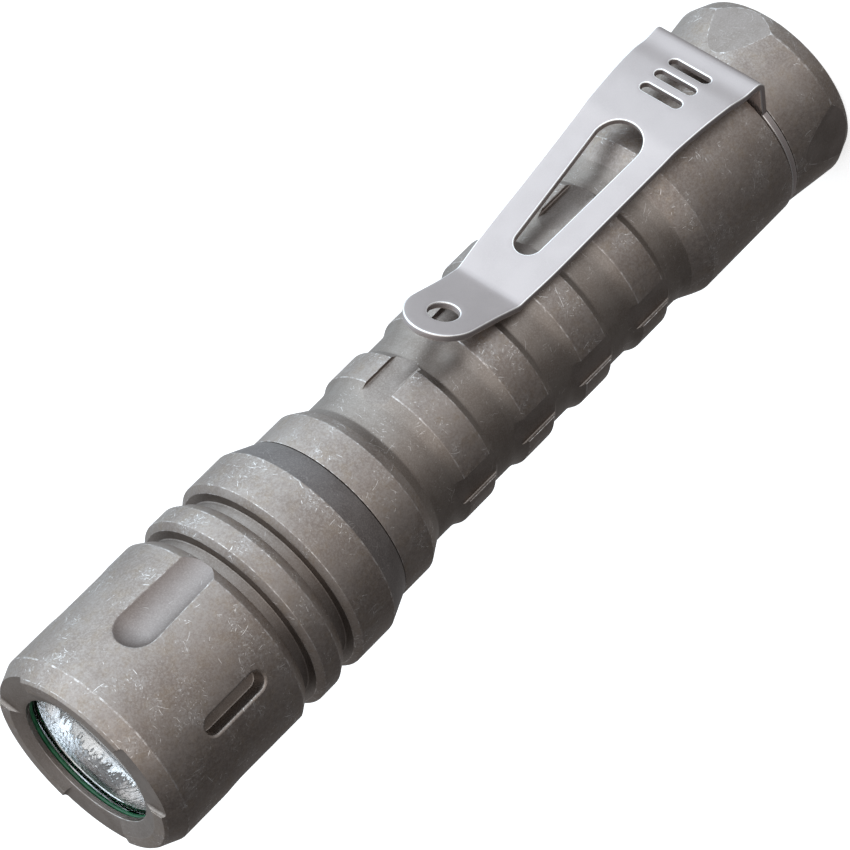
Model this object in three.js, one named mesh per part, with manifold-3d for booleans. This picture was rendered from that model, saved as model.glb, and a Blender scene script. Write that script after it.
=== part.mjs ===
// Keychain flashlight for one AAA-size cell, standing on its tail.
// Millimetres. +Z runs along the barrel from the tail face (z = 0) to the front rim,
// and the pocket clip lies on the -Y side.
import * as THREE from "three";
import { mergeVertices } from "three/addons/utils/BufferGeometryUtils.js";
import Module from "manifold-3d";

const wasm = await Module();
wasm.setup();

// ---- driving dimensions -------------------------------------------------------------

const TOTAL_LENGTH = 80.95;
const HEAD_RADIUS = 9.02;
const BODY_RADIUS = 7.95;
const RIDGE_RADIUS = 7.34;
const VALLEY_RADIUS = 6.9;
const NECK_RADIUS = 6.85; // male threads on tube and tail cap
const THREAD_BORE_RADIUS = 7.0; // the female threads that they turn in
const CELL_BORE_RADIUS = 5.45;
const SEAL_GROOVE_RADIUS = 6.0;
const SEAL_GROOVE_WIDTH = 1.0;

const CAP_LENGTH = 6.38; // tail face to the shoulder that clamps the clip ring
const CLIP_THICKNESS = 0.6;
const FIT = 0.03; // face-to-face play of pieces clamped on one axis
const CLEARANCE = 0.05; // between inner pieces stacked face to face
const CAP_NECK_END = 12.2;
const TUBE_REAR = CAP_LENGTH + CLIP_THICKNESS + 2 * FIT;
const TUBE_SHOULDER = 53.73; // where the head butts against the tube
const TUBE_FRONT = 59.1;
const TUBE_COUNTERBORE_END = 12.55;

const SHELL_SIDES = 40;
const INNER_SIDES = 24;
const SMALL_SIDES = 20;

// Directions round the barrel, in degrees from +X.
const POCKET_AZIMUTHS = [-83.7, 6.3, 96.3, 186.3];
const SCOOP_AZIMUTHS = [-91.5, 28.5, 148.5];
const SLOT_AZIMUTHS = [-151.5, -31.5, 88.5];

// ---- helpers ------------------------------------------------------------------------

const radians = THREE.MathUtils.degToRad;

// A closed mesh as a manifold-3d solid. Only positions are kept, so shared corners merge.
function solidOf(geometry) {
  const bare = new THREE.BufferGeometry();
  bare.setAttribute("position", geometry.getAttribute("position").clone());
  if (geometry.index) bare.setIndex(geometry.index.clone());
  const merged = mergeVertices(bare, 1e-4);
  const index = merged.index.array;
  const kept = [];
  for (let i = 0; i < index.length; i += 3) {
    const [a, b, c] = [index[i], index[i + 1], index[i + 2]];
    if (a !== b && b !== c && a !== c) kept.push(a, b, c);
  }
  return new wasm.Manifold(
    new wasm.Mesh({
      numProp: 3,
      vertProperties: new Float32Array(merged.attributes.position.array),
      triVerts: new Uint32Array(kept),
    }),
  );
}

function geometryOf(solid) {
  const mesh = solid.getMesh();
  const geometry = new THREE.BufferGeometry();
  geometry.setAttribute("position", new THREE.BufferAttribute(mesh.vertProperties, 3));
  geometry.setIndex(new THREE.BufferAttribute(mesh.triVerts, 1));
  geometry.computeVertexNormals();
  return geometry;
}

// Signed area of an outline given as [radius, height] pairs: positive when anticlockwise.
function signedArea(points) {
  return points.reduce((sum, [x, y], i) => {
    const [nextX, nextY] = points[(i + 1) % points.length];
    return sum + (x * nextY - nextX * y) / 2;
  }, 0);
}

// A solid of revolution about Z from [radius, height] pairs. An outline that touches the
// axis starts and ends on it; any other is closed here.
function turned(points, sides = SHELL_SIDES) {
  const outline = signedArea(points) > 0 ? points : [...points].reverse();
  const onAxis = outline.some(([radius]) => radius === 0);
  const start = onAxis ? outline.findIndex(([radius], i) => {
    const previous = outline[(i + outline.length - 1) % outline.length];
    return radius === 0 && previous[0] === 0;
  }) : 0;
  const ordered = [...outline.slice(start), ...outline.slice(0, start)];
  if (!onAxis) ordered.push(ordered[0]);
  const profile = ordered.map(([radius, height]) => new THREE.Vector2(radius, height));
  return solidOf(new THREE.LatheGeometry(profile, sides).rotateX(Math.PI / 2));
}

// A ring of rectangular section, or a disc when the inner radius is 0.
function ring(inner, outer, bottom, top, sides = INNER_SIDES) {
  return turned([[inner, bottom], [outer, bottom], [outer, top], [inner, top]], sides);
}

// A round ring of circular section, such as an O-ring.
function torus(middle, section, height, sides = INNER_SIDES, corners = 6) {
  const outline = Array.from({ length: corners }, (_, i) => {
    const angle = ((i + 0.5) / corners) * 2 * Math.PI;
    return [middle + section * Math.cos(angle), height + section * Math.sin(angle)];
  });
  return turned(outline, sides);
}

// A box given by its lowest and highest corners.
function box(low, high) {
  const size = high.map((value, i) => value - low[i]);
  const geometry = new THREE.BoxGeometry(...size);
  geometry.translate(...low.map((value, i) => value + size[i] / 2));
  return solidOf(geometry);
}

// A flat outline in X and Y raised along Z.
function prism(shape, bottom, top, curveSegments = 8) {
  const geometry = new THREE.ExtrudeGeometry(shape, {
    depth: top - bottom,
    bevelEnabled: false,
    curveSegments,
  });
  return solidOf(geometry.translate(0, 0, bottom));
}

// A slot outline with round ends, centred on the origin, its length along Y.
function slotShape(length, startWidth, endWidth = startWidth) {
  const [a, b] = [startWidth / 2, endWidth / 2];
  const shape = new THREE.Shape();
  shape.moveTo(a, -length / 2 + a);
  shape.lineTo(b, length / 2 - b);
  shape.absarc(0, length / 2 - b, b, 0, Math.PI, false);
  shape.lineTo(-a, -length / 2 + a);
  shape.absarc(0, -length / 2 + a, a, Math.PI, 2 * Math.PI, false);
  return shape;
}

// A rectangle with rounded corners, centred on the origin.
function roundedSquare(side, corner) {
  const half = side / 2;
  const shape = new THREE.Shape();
  shape.moveTo(half, -half + corner);
  shape.absarc(half - corner, half - corner, corner, 0, Math.PI / 2, false);
  shape.absarc(-half + corner, half - corner, corner, Math.PI / 2, Math.PI, false);
  shape.absarc(-half + corner, -half + corner, corner, Math.PI, 1.5 * Math.PI, false);
  shape.absarc(half - corner, -half + corner, corner, 1.5 * Math.PI, 2 * Math.PI, false);
  return shape;
}

function moved(solid, matrix) {
  return solidOf(geometryOf(solid).applyMatrix4(matrix));
}

function turnedTo(solid, azimuth) {
  return moved(solid, new THREE.Matrix4().makeRotationZ(radians(azimuth)));
}

// A round wire along a curve.
function wire(curve, radius, steps, corners = 6) {
  const section = new THREE.Shape();
  for (let i = 0; i < corners; i++) {
    const angle = (i / corners) * 2 * Math.PI;
    const point = [radius * Math.cos(angle), radius * Math.sin(angle)];
    if (i === 0) section.moveTo(...point);
    else section.lineTo(...point);
  }
  return solidOf(new THREE.ExtrudeGeometry(section, { steps, extrudePath: curve }));
}

// A coil round Z whose radius changes evenly from its bottom to its top.
class CoilCurve extends THREE.Curve {
  constructor({ bottom, top, bottomRadius, topRadius, turns }) {
    super();
    Object.assign(this, { bottom, top, bottomRadius, topRadius, turns });
  }

  getPoint(t, target = new THREE.Vector3()) {
    const radius = this.bottomRadius + (this.topRadius - this.bottomRadius) * t;
    const angle = t * this.turns * 2 * Math.PI;
    const height = this.bottom + (this.top - this.bottom) * t;
    return target.set(radius * Math.cos(angle), radius * Math.sin(angle), height);
  }
}

// ---- materials ----------------------------------------------------------------------

const FINISHES = {
  stonewashed: { color: 0x8a837b, roughness: 0.45, metalness: 0.9 },
  clipSteel: { color: 0xb9b8b4, roughness: 0.3, metalness: 1 },
  glowGreen: { color: 0x2f7d45, roughness: 0.5, metalness: 0 },
  glass: { color: 0xeaf2f4, roughness: 0.03, metalness: 0 },
  mirror: { color: 0xdedfe0, roughness: 0.15, metalness: 1 },
  brass: { color: 0xb5964a, roughness: 0.3, metalness: 1 },
  whitePlastic: { color: 0xe8e8e4, roughness: 0.5, metalness: 0 },
  blackPlastic: { color: 0x1c1c1e, roughness: 0.5, metalness: 0 },
  blackRubber: { color: 0x151515, roughness: 0.85, metalness: 0 },
  emitter: { color: 0xe6d24a, roughness: 0.3, metalness: 0 },
  whiteBoard: { color: 0xe4e6e6, roughness: 0.4, metalness: 0 },
  greenBoard: { color: 0x1d5a35, roughness: 0.4, metalness: 0 },
  redWire: { color: 0xb02a24, roughness: 0.5, metalness: 0 },
  blackWire: { color: 0x17171a, roughness: 0.5, metalness: 0 },
  cellSteel: { color: 0xb4b6b8, roughness: 0.3, metalness: 1 },
  cellJacket: { color: 0x3c5f8c, roughness: 0.4, metalness: 0 },
  goldSpring: { color: 0xc9a253, roughness: 0.25, metalness: 1 },
};

const flashlight = new THREE.Group();
flashlight.name = "keychain_flashlight";

function add(name, solid, finish) {
  const mesh = new THREE.Mesh(
    geometryOf(solid),
    new THREE.MeshStandardMaterial(FINISHES[finish]),
  );
  mesh.name = name;
  flashlight.add(mesh);
}

// ---- head ---------------------------------------------------------------------------

const HEAD_REAR = TUBE_SHOULDER + 0.07; // a hair's breadth from the tube at rest
const HEAD_BORE_RADIUS = 6.7;
const FRONT_OPENING_RADIUS = 5.95;
const LIP_BACK = 80.07; // inner face of the lip that holds the lens
const GROOVE_RADIUS = 7.7;
const FIN_EDGE_RADIUS = 8.48; // where each fin's chamfer meets the groove wall
const NOTCH_FLOOR = 80.6;
const NOTCH_SPAN = 48.5; // degrees
const SLOT_WIDTH = 1.6;
const SLOT_BOTTOM = 68.8;
const SLOT_TOP = 74.9;
const SLOT_FLOOR_RADIUS = 7.6;
const SCOOP_CUTTER_RADIUS = 3.0;

// One scoop is the path of a ball cutter that rises a little and leaves through the front groove.
function scoopCutter() {
  const deep = new THREE.Vector3(11.23, 0, 72.95);
  const shallow = new THREE.Vector3(11.41, 0, 66.0);
  const length = deep.distanceTo(shallow);
  const capsule = new THREE.CapsuleGeometry(SCOOP_CUTTER_RADIUS, length, 8, 28);
  const along = deep.clone().sub(shallow).normalize();
  const turn = new THREE.Quaternion().setFromUnitVectors(new THREE.Vector3(0, 1, 0), along);
  capsule.applyQuaternion(turn);
  capsule.translate(...deep.clone().add(shallow).multiplyScalar(0.5).toArray());
  return solidOf(capsule);
}

// A pocket for a glow tube, milled straight in from the side.
function inlaySlotCutter() {
  const depth = HEAD_RADIUS + 0.5 - SLOT_FLOOR_RADIUS;
  const cutter = prism(slotShape(SLOT_TOP - SLOT_BOTTOM, SLOT_WIDTH), 0, depth, 6);
  const place = new THREE.Matrix4().makeBasis(
    new THREE.Vector3(0, 1, 0),
    new THREE.Vector3(0, 0, 1),
    new THREE.Vector3(1, 0, 0),
  );
  place.setPosition(SLOT_FLOOR_RADIUS, 0, (SLOT_BOTTOM + SLOT_TOP) / 2);
  return moved(cutter, place);
}

function notchCutter() {
  const half = radians(NOTCH_SPAN / 2);
  const reach = HEAD_RADIUS + 2;
  const sector = new THREE.Shape();
  sector.moveTo(0, 0);
  sector.lineTo(reach * Math.cos(half), -reach * Math.sin(half));
  sector.lineTo(reach + 2, 0);
  sector.lineTo(reach * Math.cos(half), reach * Math.sin(half));
  return prism(sector, NOTCH_FLOOR, TOTAL_LENGTH + 1);
}

function headShell() {
  let shell = turned([
    [THREAD_BORE_RADIUS, HEAD_REAR],
    [BODY_RADIUS, HEAD_REAR],
    [HEAD_RADIUS, 56.32],
    [HEAD_RADIUS, 59.87],
    [FIN_EDGE_RADIUS, 60.31],
    [GROOVE_RADIUS, 60.35],
    [GROOVE_RADIUS, 61.5],
    [FIN_EDGE_RADIUS, 61.55],
    [HEAD_RADIUS, 62.38],
    [HEAD_RADIUS, 64.09],
    [FIN_EDGE_RADIUS, 64.53],
    [GROOVE_RADIUS, 64.58],
    [GROOVE_RADIUS, 65.7],
    [FIN_EDGE_RADIUS, 65.75],
    [HEAD_RADIUS, 66.61],
    [HEAD_RADIUS, 79.19],
    [8.36, TOTAL_LENGTH - 0.23],
    [8.18, TOTAL_LENGTH],
    [7.2, TOTAL_LENGTH],
    [FRONT_OPENING_RADIUS, TOTAL_LENGTH - 0.48],
    [FRONT_OPENING_RADIUS, LIP_BACK],
    [HEAD_BORE_RADIUS, LIP_BACK],
    [HEAD_BORE_RADIUS, TUBE_FRONT + CLEARANCE],
    [THREAD_BORE_RADIUS, TUBE_FRONT + CLEARANCE],
  ]);
  for (const azimuth of SCOOP_AZIMUTHS) {
    shell = shell.subtract(turnedTo(scoopCutter(), azimuth));
  }
  for (const azimuth of SLOT_AZIMUTHS) {
    shell = shell.subtract(turnedTo(inlaySlotCutter(), azimuth));
    shell = shell.subtract(turnedTo(notchCutter(), azimuth));
  }
  return shell;
}

const LENS_FRONT = 79.55;
const LENS_BACK = LENS_FRONT - 1.5;
const LENS_RADIUS = 6.55;
const LENS_CHAMFER = 0.15;

// The front seal is an O-ring pressed flat between the lens and the lip.
function lensSeal() {
  const middle = 6.3;
  const halfWidth = 0.35;
  const halfHeight = 0.24;
  const height = (LENS_FRONT + LIP_BACK) / 2;
  const corners = 8;
  const outline = Array.from({ length: corners }, (_, i) => {
    const angle = ((i + 0.5) / corners) * 2 * Math.PI;
    return [middle + halfWidth * Math.cos(angle), height + halfHeight * Math.sin(angle)];
  });
  return turned(outline, INNER_SIDES);
}

function lens() {
  return turned([
    [0, LENS_BACK],
    [LENS_RADIUS - LENS_CHAMFER, LENS_BACK],
    [LENS_RADIUS, LENS_BACK + LENS_CHAMFER],
    [LENS_RADIUS, LENS_FRONT - LENS_CHAMFER],
    [LENS_RADIUS - LENS_CHAMFER, LENS_FRONT],
    [0, LENS_FRONT],
  ], INNER_SIDES);
}

const REFLECTOR_BASE = 66.95;

// A paraboloid bowl with its focus at the emitter.
function reflector() {
  const rim = LENS_BACK - CLEARANCE;
  const vertex = 66.5;
  const mouth = 6.05;
  const throat = 1.95;
  const perHeight = mouth ** 2 / (rim - vertex); // radius squared over height
  const throatTop = vertex + throat ** 2 / perHeight;
  const bowl = Array.from({ length: 7 }, (_, i) => {
    const height = throatTop + ((rim - throatTop) * i) / 6;
    return [Math.sqrt(perHeight * (height - vertex)), height];
  });
  return turned([
    [throat, REFLECTOR_BASE],
    [3.4, REFLECTOR_BASE],
    [LENS_RADIUS, rim - 1.1],
    [LENS_RADIUS, rim],
    ...bowl.reverse(),
  ], INNER_SIDES);
}

const LED_BOARD_TOP = 66.0;
const LED_SIDE = 3.45;
const LED_BOARD_RADIUS = 5.3;
const PILL_TOP = 65.0;
const WIRE_OFFSET = 4.3; // from the axis to each lead
const WIRE_HOLE_RADIUS = 0.6;

function wireHoles(solid, bottom, top) {
  let cut = solid;
  for (const side of [-1, 1]) {
    const hole = ring(0, WIRE_HOLE_RADIUS, bottom, top, 12);
    const place = new THREE.Matrix4().makeTranslation(side * WIRE_OFFSET, 0, 0);
    cut = cut.subtract(moved(hole, place));
  }
  return cut;
}

function centeringGasket() {
  const outline = new THREE.Shape();
  outline.absarc(0, 0, 2.9, 0, 2 * Math.PI, false);
  outline.holes.push(roundedSquare(LED_SIDE + 0.15, 0.2));
  return prism(outline, LED_BOARD_TOP + CLEARANCE, REFLECTOR_BASE - 0.1);
}

function ledEmitter() {
  const seat = LED_BOARD_TOP + CLEARANCE;
  const half = LED_SIDE / 2;
  const base = box([-half, -half, seat], [half, half, seat + 0.6]);
  const dome = turned([
    [0, seat + 0.3],
    [1.4, seat + 0.3],
    [1.4, seat + 0.6],
    [1.2, seat + 1.1],
    [0.75, seat + 1.42],
    [0, seat + 1.55],
  ], SMALL_SIDES);
  return base.add(dome);
}

function ledBoard() {
  const disc = ring(0, LED_BOARD_RADIUS, PILL_TOP + CLEARANCE, LED_BOARD_TOP);
  return wireHoles(disc, PILL_TOP - 1, LED_BOARD_TOP + 1);
}

function pill() {
  const cup = turned([
    [0, 63.8],
    [5.2, 63.8],
    [5.2, 60.3],
    [5.75, 60.3],
    [5.75, TUBE_FRONT + 0.1],
    [6.6, TUBE_FRONT + 0.1],
    [6.6, PILL_TOP],
    [0, PILL_TOP],
  ], INNER_SIDES);
  return wireHoles(cup, 63, 66);
}

const DRIVER_TOP = 60.2;
const DRIVER_BOARD_RADIUS = 5.65;
const BOARD_THICKNESS = 0.8;
const CELL_FRONT = 58.55;

function ledLead(side) {
  const x = side * WIRE_OFFSET;
  const curve = new THREE.CatmullRomCurve3([
    new THREE.Vector3(x, 0, DRIVER_TOP + CLEARANCE),
    new THREE.Vector3(x, 0, 63),
    new THREE.Vector3(x, 0, 65.9),
    new THREE.Vector3(x - side * 0.25, 0, 66.65),
    new THREE.Vector3(x - side * 0.9, 0, 66.62),
  ]);
  return wire(curve, 0.35, 10, 8);
}

function driverBoard() {
  return ring(0, DRIVER_BOARD_RADIUS, DRIVER_TOP - BOARD_THICKNESS, DRIVER_TOP);
}

const INDUCTOR_PLACE = [1.7, -1.9, 0];
const INDUCTOR_RADIUS = 1.7;
const INDUCTOR_CORE_RADIUS = 1.35;

// A rectangular component on the driver, given by two corners in X and Y.
function driverBlock(low, high, rise) {
  return box([...low, DRIVER_TOP + CLEARANCE], [...high, DRIVER_TOP + rise]);
}

function driverInductor() {
  const drum = turned([
    [0, DRIVER_TOP + CLEARANCE],
    [INDUCTOR_RADIUS, DRIVER_TOP + CLEARANCE],
    [INDUCTOR_RADIUS, DRIVER_TOP + 0.5],
    [INDUCTOR_CORE_RADIUS, DRIVER_TOP + 0.6],
    [INDUCTOR_CORE_RADIUS, DRIVER_TOP + 1.7],
    [INDUCTOR_RADIUS, DRIVER_TOP + 1.8],
    [INDUCTOR_RADIUS, DRIVER_TOP + 2.25],
    [0, DRIVER_TOP + 2.25],
  ], SMALL_SIDES);
  return moved(drum, new THREE.Matrix4().makeTranslation(...INDUCTOR_PLACE));
}

function driverContact() {
  const back = DRIVER_TOP - BOARD_THICKNESS - CLEARANCE;
  return turned([
    [0, CELL_FRONT + 0.1],
    [1.4, CELL_FRONT + 0.1],
    [1.6, CELL_FRONT + 0.3],
    [1.6, back],
    [0, back],
  ], SMALL_SIDES);
}

add("head_shell", headShell(), "stonewashed");
add("lens_o_ring", lensSeal(), "glowGreen");
add("lens", lens(), "glass");
add("reflector", reflector(), "mirror");
add("centering_gasket", centeringGasket(), "whitePlastic");
add("led_emitter", ledEmitter(), "emitter");
add("led_board", ledBoard(), "whiteBoard");
add("pill", pill(), "brass");
add("driver_board", driverBoard(), "greenBoard");
add("driver_inductor", driverInductor(), "blackPlastic");
add("driver_chip", driverBlock([-3.0, 0.6], [0.2, 3.6], 1.1), "blackPlastic");
add("driver_capacitor", driverBlock([-2.6, -2.6], [-1.2, -0.8], 0.95), "whitePlastic");
add("driver_contact", driverContact(), "brass");
add("led_wire_positive", ledLead(1), "redWire");
add("led_wire_negative", ledLead(-1), "blackWire");

// ---- body tube ----------------------------------------------------------------------

const RIDGE_STARTS = [22.04, 28.94, 35.73, 42.66];
const RIDGE_LENGTH = 2.85;
const RIDGE_WALL = 0.68; // length of the steep wall on the tail side
const RIDGE_RUNOUT = 1.35; // length of the soft cove on the head side
const POCKET_WIDTH = 2.6;
const POCKET_FLOOR = 6.9; // distance of the flat floor from the axis

// A grip ridge: steep behind, running out in a cove in front.
function ridgeProfile(start) {
  const end = start + RIDGE_LENGTH;
  const rise = RIDGE_RADIUS - VALLEY_RADIUS;
  const cove = [0, 0.35, 1].map((t) => [
    VALLEY_RADIUS + rise * (1 - t) ** 2,
    end + RIDGE_RUNOUT * t,
  ]);
  return [[VALLEY_RADIUS, start - RIDGE_WALL], [RIDGE_RADIUS, start], ...cove];
}

function pocketCutter(start) {
  const bottom = start - 2 * RIDGE_WALL;
  const top = start + RIDGE_LENGTH + RIDGE_RUNOUT;
  return box([POCKET_FLOOR, -POCKET_WIDTH / 2, bottom], [POCKET_FLOOR + 2, POCKET_WIDTH / 2, top]);
}

function sealGroove(middle, neckRadius, deep) {
  const half = SEAL_GROOVE_WIDTH / 2;
  return [
    [neckRadius, middle - half],
    [deep, middle - half],
    [deep, middle + half],
    [neckRadius, middle + half],
  ];
}

const O_RING_RADIUS = 6.45; // to the middle of the rubber
const O_RING_SECTION = 0.42; // half the thickness of the rubber
const HEAD_SEAL_HEIGHT = 54.8;
const TAIL_SEAL_HEIGHT = 8.1;

function bodyTube() {
  let tube = turned([
    [THREAD_BORE_RADIUS, TUBE_REAR],
    [BODY_RADIUS, TUBE_REAR],
    [BODY_RADIUS, 17.0],
    [7.72, 17.6],
    [7.1, 19.0],
    [VALLEY_RADIUS, 19.8],
    ...RIDGE_STARTS.flatMap(ridgeProfile),
    [VALLEY_RADIUS, 48.78],
    [BODY_RADIUS, 50.58],
    [BODY_RADIUS, TUBE_SHOULDER],
    [NECK_RADIUS, TUBE_SHOULDER],
    ...sealGroove(HEAD_SEAL_HEIGHT, NECK_RADIUS, SEAL_GROOVE_RADIUS),
    [NECK_RADIUS, TUBE_FRONT - 0.3],
    [NECK_RADIUS - 0.3, TUBE_FRONT],
    [CELL_BORE_RADIUS, TUBE_FRONT],
    [CELL_BORE_RADIUS, TUBE_COUNTERBORE_END],
    [THREAD_BORE_RADIUS, TUBE_COUNTERBORE_END],
  ]);
  for (const start of RIDGE_STARTS) {
    for (const azimuth of POCKET_AZIMUTHS) {
      tube = tube.subtract(turnedTo(pocketCutter(start), azimuth));
    }
  }
  return tube;
}

add("body_tube", bodyTube(), "stonewashed");
add("head_o_ring", torus(O_RING_RADIUS, O_RING_SECTION, HEAD_SEAL_HEIGHT), "blackRubber");

// ---- cell ---------------------------------------------------------------------------

const CELL_BACK = 14.05;
const CELL_SHOULDER = 57.4;
const CAN_RADIUS = 5.05;
const CELL_BUTTON_RADIUS = 1.9;

function cellCan() {
  return turned([
    [0, CELL_BACK],
    [CAN_RADIUS - 0.35, CELL_BACK],
    [CAN_RADIUS, CELL_BACK + 0.3],
    [CAN_RADIUS, CELL_SHOULDER - 0.3],
    [CAN_RADIUS - 0.3, CELL_SHOULDER],
    [0, CELL_SHOULDER],
  ], INNER_SIDES);
}

function cellJacket() {
  const inner = CAN_RADIUS + CLEARANCE;
  return ring(inner, inner + 0.15, CELL_BACK + 0.35, CELL_SHOULDER - 0.35);
}

function cellInsulator() {
  return ring(2.4, 4.6, CELL_SHOULDER + CLEARANCE, CELL_SHOULDER + 0.2);
}

function cellButton() {
  return turned([
    [0, CELL_SHOULDER + CLEARANCE],
    [CELL_BUTTON_RADIUS, CELL_SHOULDER + CLEARANCE],
    [CELL_BUTTON_RADIUS, CELL_FRONT - 0.2],
    [CELL_BUTTON_RADIUS - 0.2, CELL_FRONT],
    [0, CELL_FRONT],
  ], SMALL_SIDES);
}

add("cell_can", cellCan(), "cellSteel");
add("cell_jacket", cellJacket(), "cellJacket");
add("cell_insulator", cellInsulator(), "whitePlastic");
add("cell_positive_cap", cellButton(), "cellSteel");

// ---- tail cap and switch ------------------------------------------------------------

const CAP_END_RADIUS = 7.84;
const CAP_RIM_RADIUS = 8.42;
const CAP_RIM_HEIGHT = 1.55;
const CAP_SHOULDER_RADIUS = 7.83;
const CAP_FLAT_DISTANCE = 7.95;
const CAP_BORE_RADIUS = 5.4;
const BOOT_OPENING_RADIUS = 4.4;
const CAP_LIP_INSIDE = 1.6;

function tailCap() {
  let cap = turned([
    [BOOT_OPENING_RADIUS + 0.3, 0],
    [CAP_END_RADIUS, 0],
    [CAP_RIM_RADIUS, CAP_RIM_HEIGHT],
    [CAP_SHOULDER_RADIUS, CAP_LENGTH],
    [NECK_RADIUS, CAP_LENGTH],
    ...sealGroove(TAIL_SEAL_HEIGHT, NECK_RADIUS, SEAL_GROOVE_RADIUS),
    [NECK_RADIUS, CAP_NECK_END - 0.3],
    [NECK_RADIUS - 0.3, CAP_NECK_END],
    [CAP_BORE_RADIUS, CAP_NECK_END],
    [CAP_BORE_RADIUS, CAP_LIP_INSIDE],
    [BOOT_OPENING_RADIUS, CAP_LIP_INSIDE],
    [BOOT_OPENING_RADIUS, 0.3],
  ]);
  for (const azimuth of POCKET_AZIMUTHS) {
    const beyond = box([CAP_FLAT_DISTANCE, -6, -1], [CAP_FLAT_DISTANCE + 2, 6, CAP_LENGTH]);
    cap = cap.subtract(turnedTo(beyond, azimuth));
  }
  return cap;
}

const BUTTON_FACE = 0.3; // the boot's face is set in, so the light stands on its tail
const BOOT_TOP = 2.65;
const BOOT_FLANGE_RADIUS = 5.25;
const BOOT_CAVITY_RADIUS = 3.3;
const PLUNGER_TIP = 1.45;

function switchBoot() {
  return turned([
    [0, BUTTON_FACE],
    [3.9, BUTTON_FACE],
    [4.2, BUTTON_FACE + 0.3],
    [4.2, CAP_LIP_INSIDE + CLEARANCE],
    [BOOT_FLANGE_RADIUS, CAP_LIP_INSIDE + CLEARANCE],
    [BOOT_FLANGE_RADIUS, BOOT_TOP],
    [BOOT_CAVITY_RADIUS, BOOT_TOP],
    [BOOT_CAVITY_RADIUS, 1.35],
    [0, 1.35],
  ], INNER_SIDES);
}

const HOUSING_SIDE = 7.0;
const HOUSING_FRONT = 3.7;
const HOUSING_BACK = 8.9;
const STEM_RADIUS = 1.4;
const CAGE_RADIUS = 1.9;
const CAGE_TOP = 8.2;

function switchHousing() {
  const block = prism(roundedSquare(HOUSING_SIDE, 0.9), HOUSING_FRONT, HOUSING_BACK, 3);
  const cage = turned([
    [0, HOUSING_FRONT - 1],
    [STEM_RADIUS + 0.15, HOUSING_FRONT - 1],
    [STEM_RADIUS + 0.15, 4.6],
    [CAGE_RADIUS, 4.6],
    [CAGE_RADIUS, CAGE_TOP],
    [0, CAGE_TOP],
  ], SMALL_SIDES);
  return block.subtract(cage);
}

function switchPlunger() {
  return turned([
    [0, PLUNGER_TIP],
    [STEM_RADIUS - 0.2, PLUNGER_TIP],
    [STEM_RADIUS, PLUNGER_TIP + 0.2],
    [STEM_RADIUS, 4.75],
    [CAGE_RADIUS - 0.15, 4.75],
    [CAGE_RADIUS - 0.15, 5.3],
    [0, 5.3],
  ], SMALL_SIDES);
}

const SWITCH_RADIUS = 5.3; // of the spacer and the board, in the cap's bore
const SPACER_OPENING_RADIUS = 3.6;

function switchSpacer() {
  const wall = 0.35;
  const step = 3.4;
  return turned([
    [SPACER_OPENING_RADIUS, BOOT_TOP + CLEARANCE],
    [SWITCH_RADIUS, BOOT_TOP + CLEARANCE],
    [SWITCH_RADIUS, HOUSING_BACK],
    [SWITCH_RADIUS - wall, HOUSING_BACK],
    [SWITCH_RADIUS - wall, step],
    [SPACER_OPENING_RADIUS, step],
  ], INNER_SIDES);
}

const BOARD_TOP = 9.8;
const RETAINER_RADIUS = 5.35;
const RETAINER_TOP = 11.5;

function retainingRing() {
  const spanner = box([-6, -0.6, RETAINER_TOP - 0.7], [6, 0.6, RETAINER_TOP + 1]);
  return ring(3.3, RETAINER_RADIUS, BOARD_TOP + CLEARANCE, RETAINER_TOP).subtract(spanner);
}

add("tail_cap", tailCap(), "stonewashed");
add("tail_o_ring", torus(O_RING_RADIUS, O_RING_SECTION, TAIL_SEAL_HEIGHT), "blackRubber");
add("switch_boot", switchBoot(), "blackRubber");
add("switch_spacer", switchSpacer(), "whitePlastic");
add("switch_housing", switchHousing(), "blackPlastic");
add("switch_plunger", switchPlunger(), "whitePlastic");
add("switch_spring", wire(new CoilCurve({
  bottom: 5.55, top: 8.0, bottomRadius: 1.25, topRadius: 1.25, turns: 4,
}), 0.15, 48, 5), "goldSpring");
add("switch_board", ring(0, SWITCH_RADIUS, HOUSING_BACK + CLEARANCE, BOARD_TOP), "greenBoard");
add("switch_retaining_ring", retainingRing(), "brass");
add("battery_spring", wire(new CoilCurve({
  bottom: BOARD_TOP + 0.4, top: CELL_BACK - 0.4, bottomRadius: 2.6, topRadius: 1.6, turns: 4,
}), 0.3, 56), "goldSpring");

// ---- pocket clip --------------------------------------------------------------------

const CLIP_RING_BOTTOM = CAP_LENGTH + FIT;
const CLIP_ROOT_REACH = 9.53; // outer face of the riser, from the axis
const CLIP_BEND_OUTER = 0.9;
const FLEX_GAP_BOTTOM = 7.9;
const FLEX_GAP_TOP = 8.2;
const EYE_HEIGHT = 38.5;
const EYE_RADIUS = 1.2;
const TONGUE_RADIUS = 3.0;
const CONTACT_HEIGHT = 33.8;

// Outer face of the arm, seen from the side: distance from the axis and height.
const ARM_OUTER_FACE = [
  [9.53, FLEX_GAP_TOP],
  [10.0, 10.5],
  [10.18, 13.3],
  [10.12, 16.1],
  [9.85, 17.8],
  [8.98, 24.4],
  [8.1, 31.0],
  [7.9, 32.6],
  [7.86, CONTACT_HEIGHT],
  [8.2, 35.0],
  [10.05, 38.9],
  [11.15, 41.6],
];

// Half width of the arm, from the bend to the start of the round tongue.
const ARM_HALF_WIDTHS = [
  [5.18, 6.0],
  [4.96, 10.15],
  [4.47, 16.1],
  [3.9, 24.0],
  [3.52, 30.0],
  [3.14, CONTACT_HEIGHT],
  [TONGUE_RADIUS, 36.5],
  [TONGUE_RADIUS, EYE_HEIGHT],
];

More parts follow.
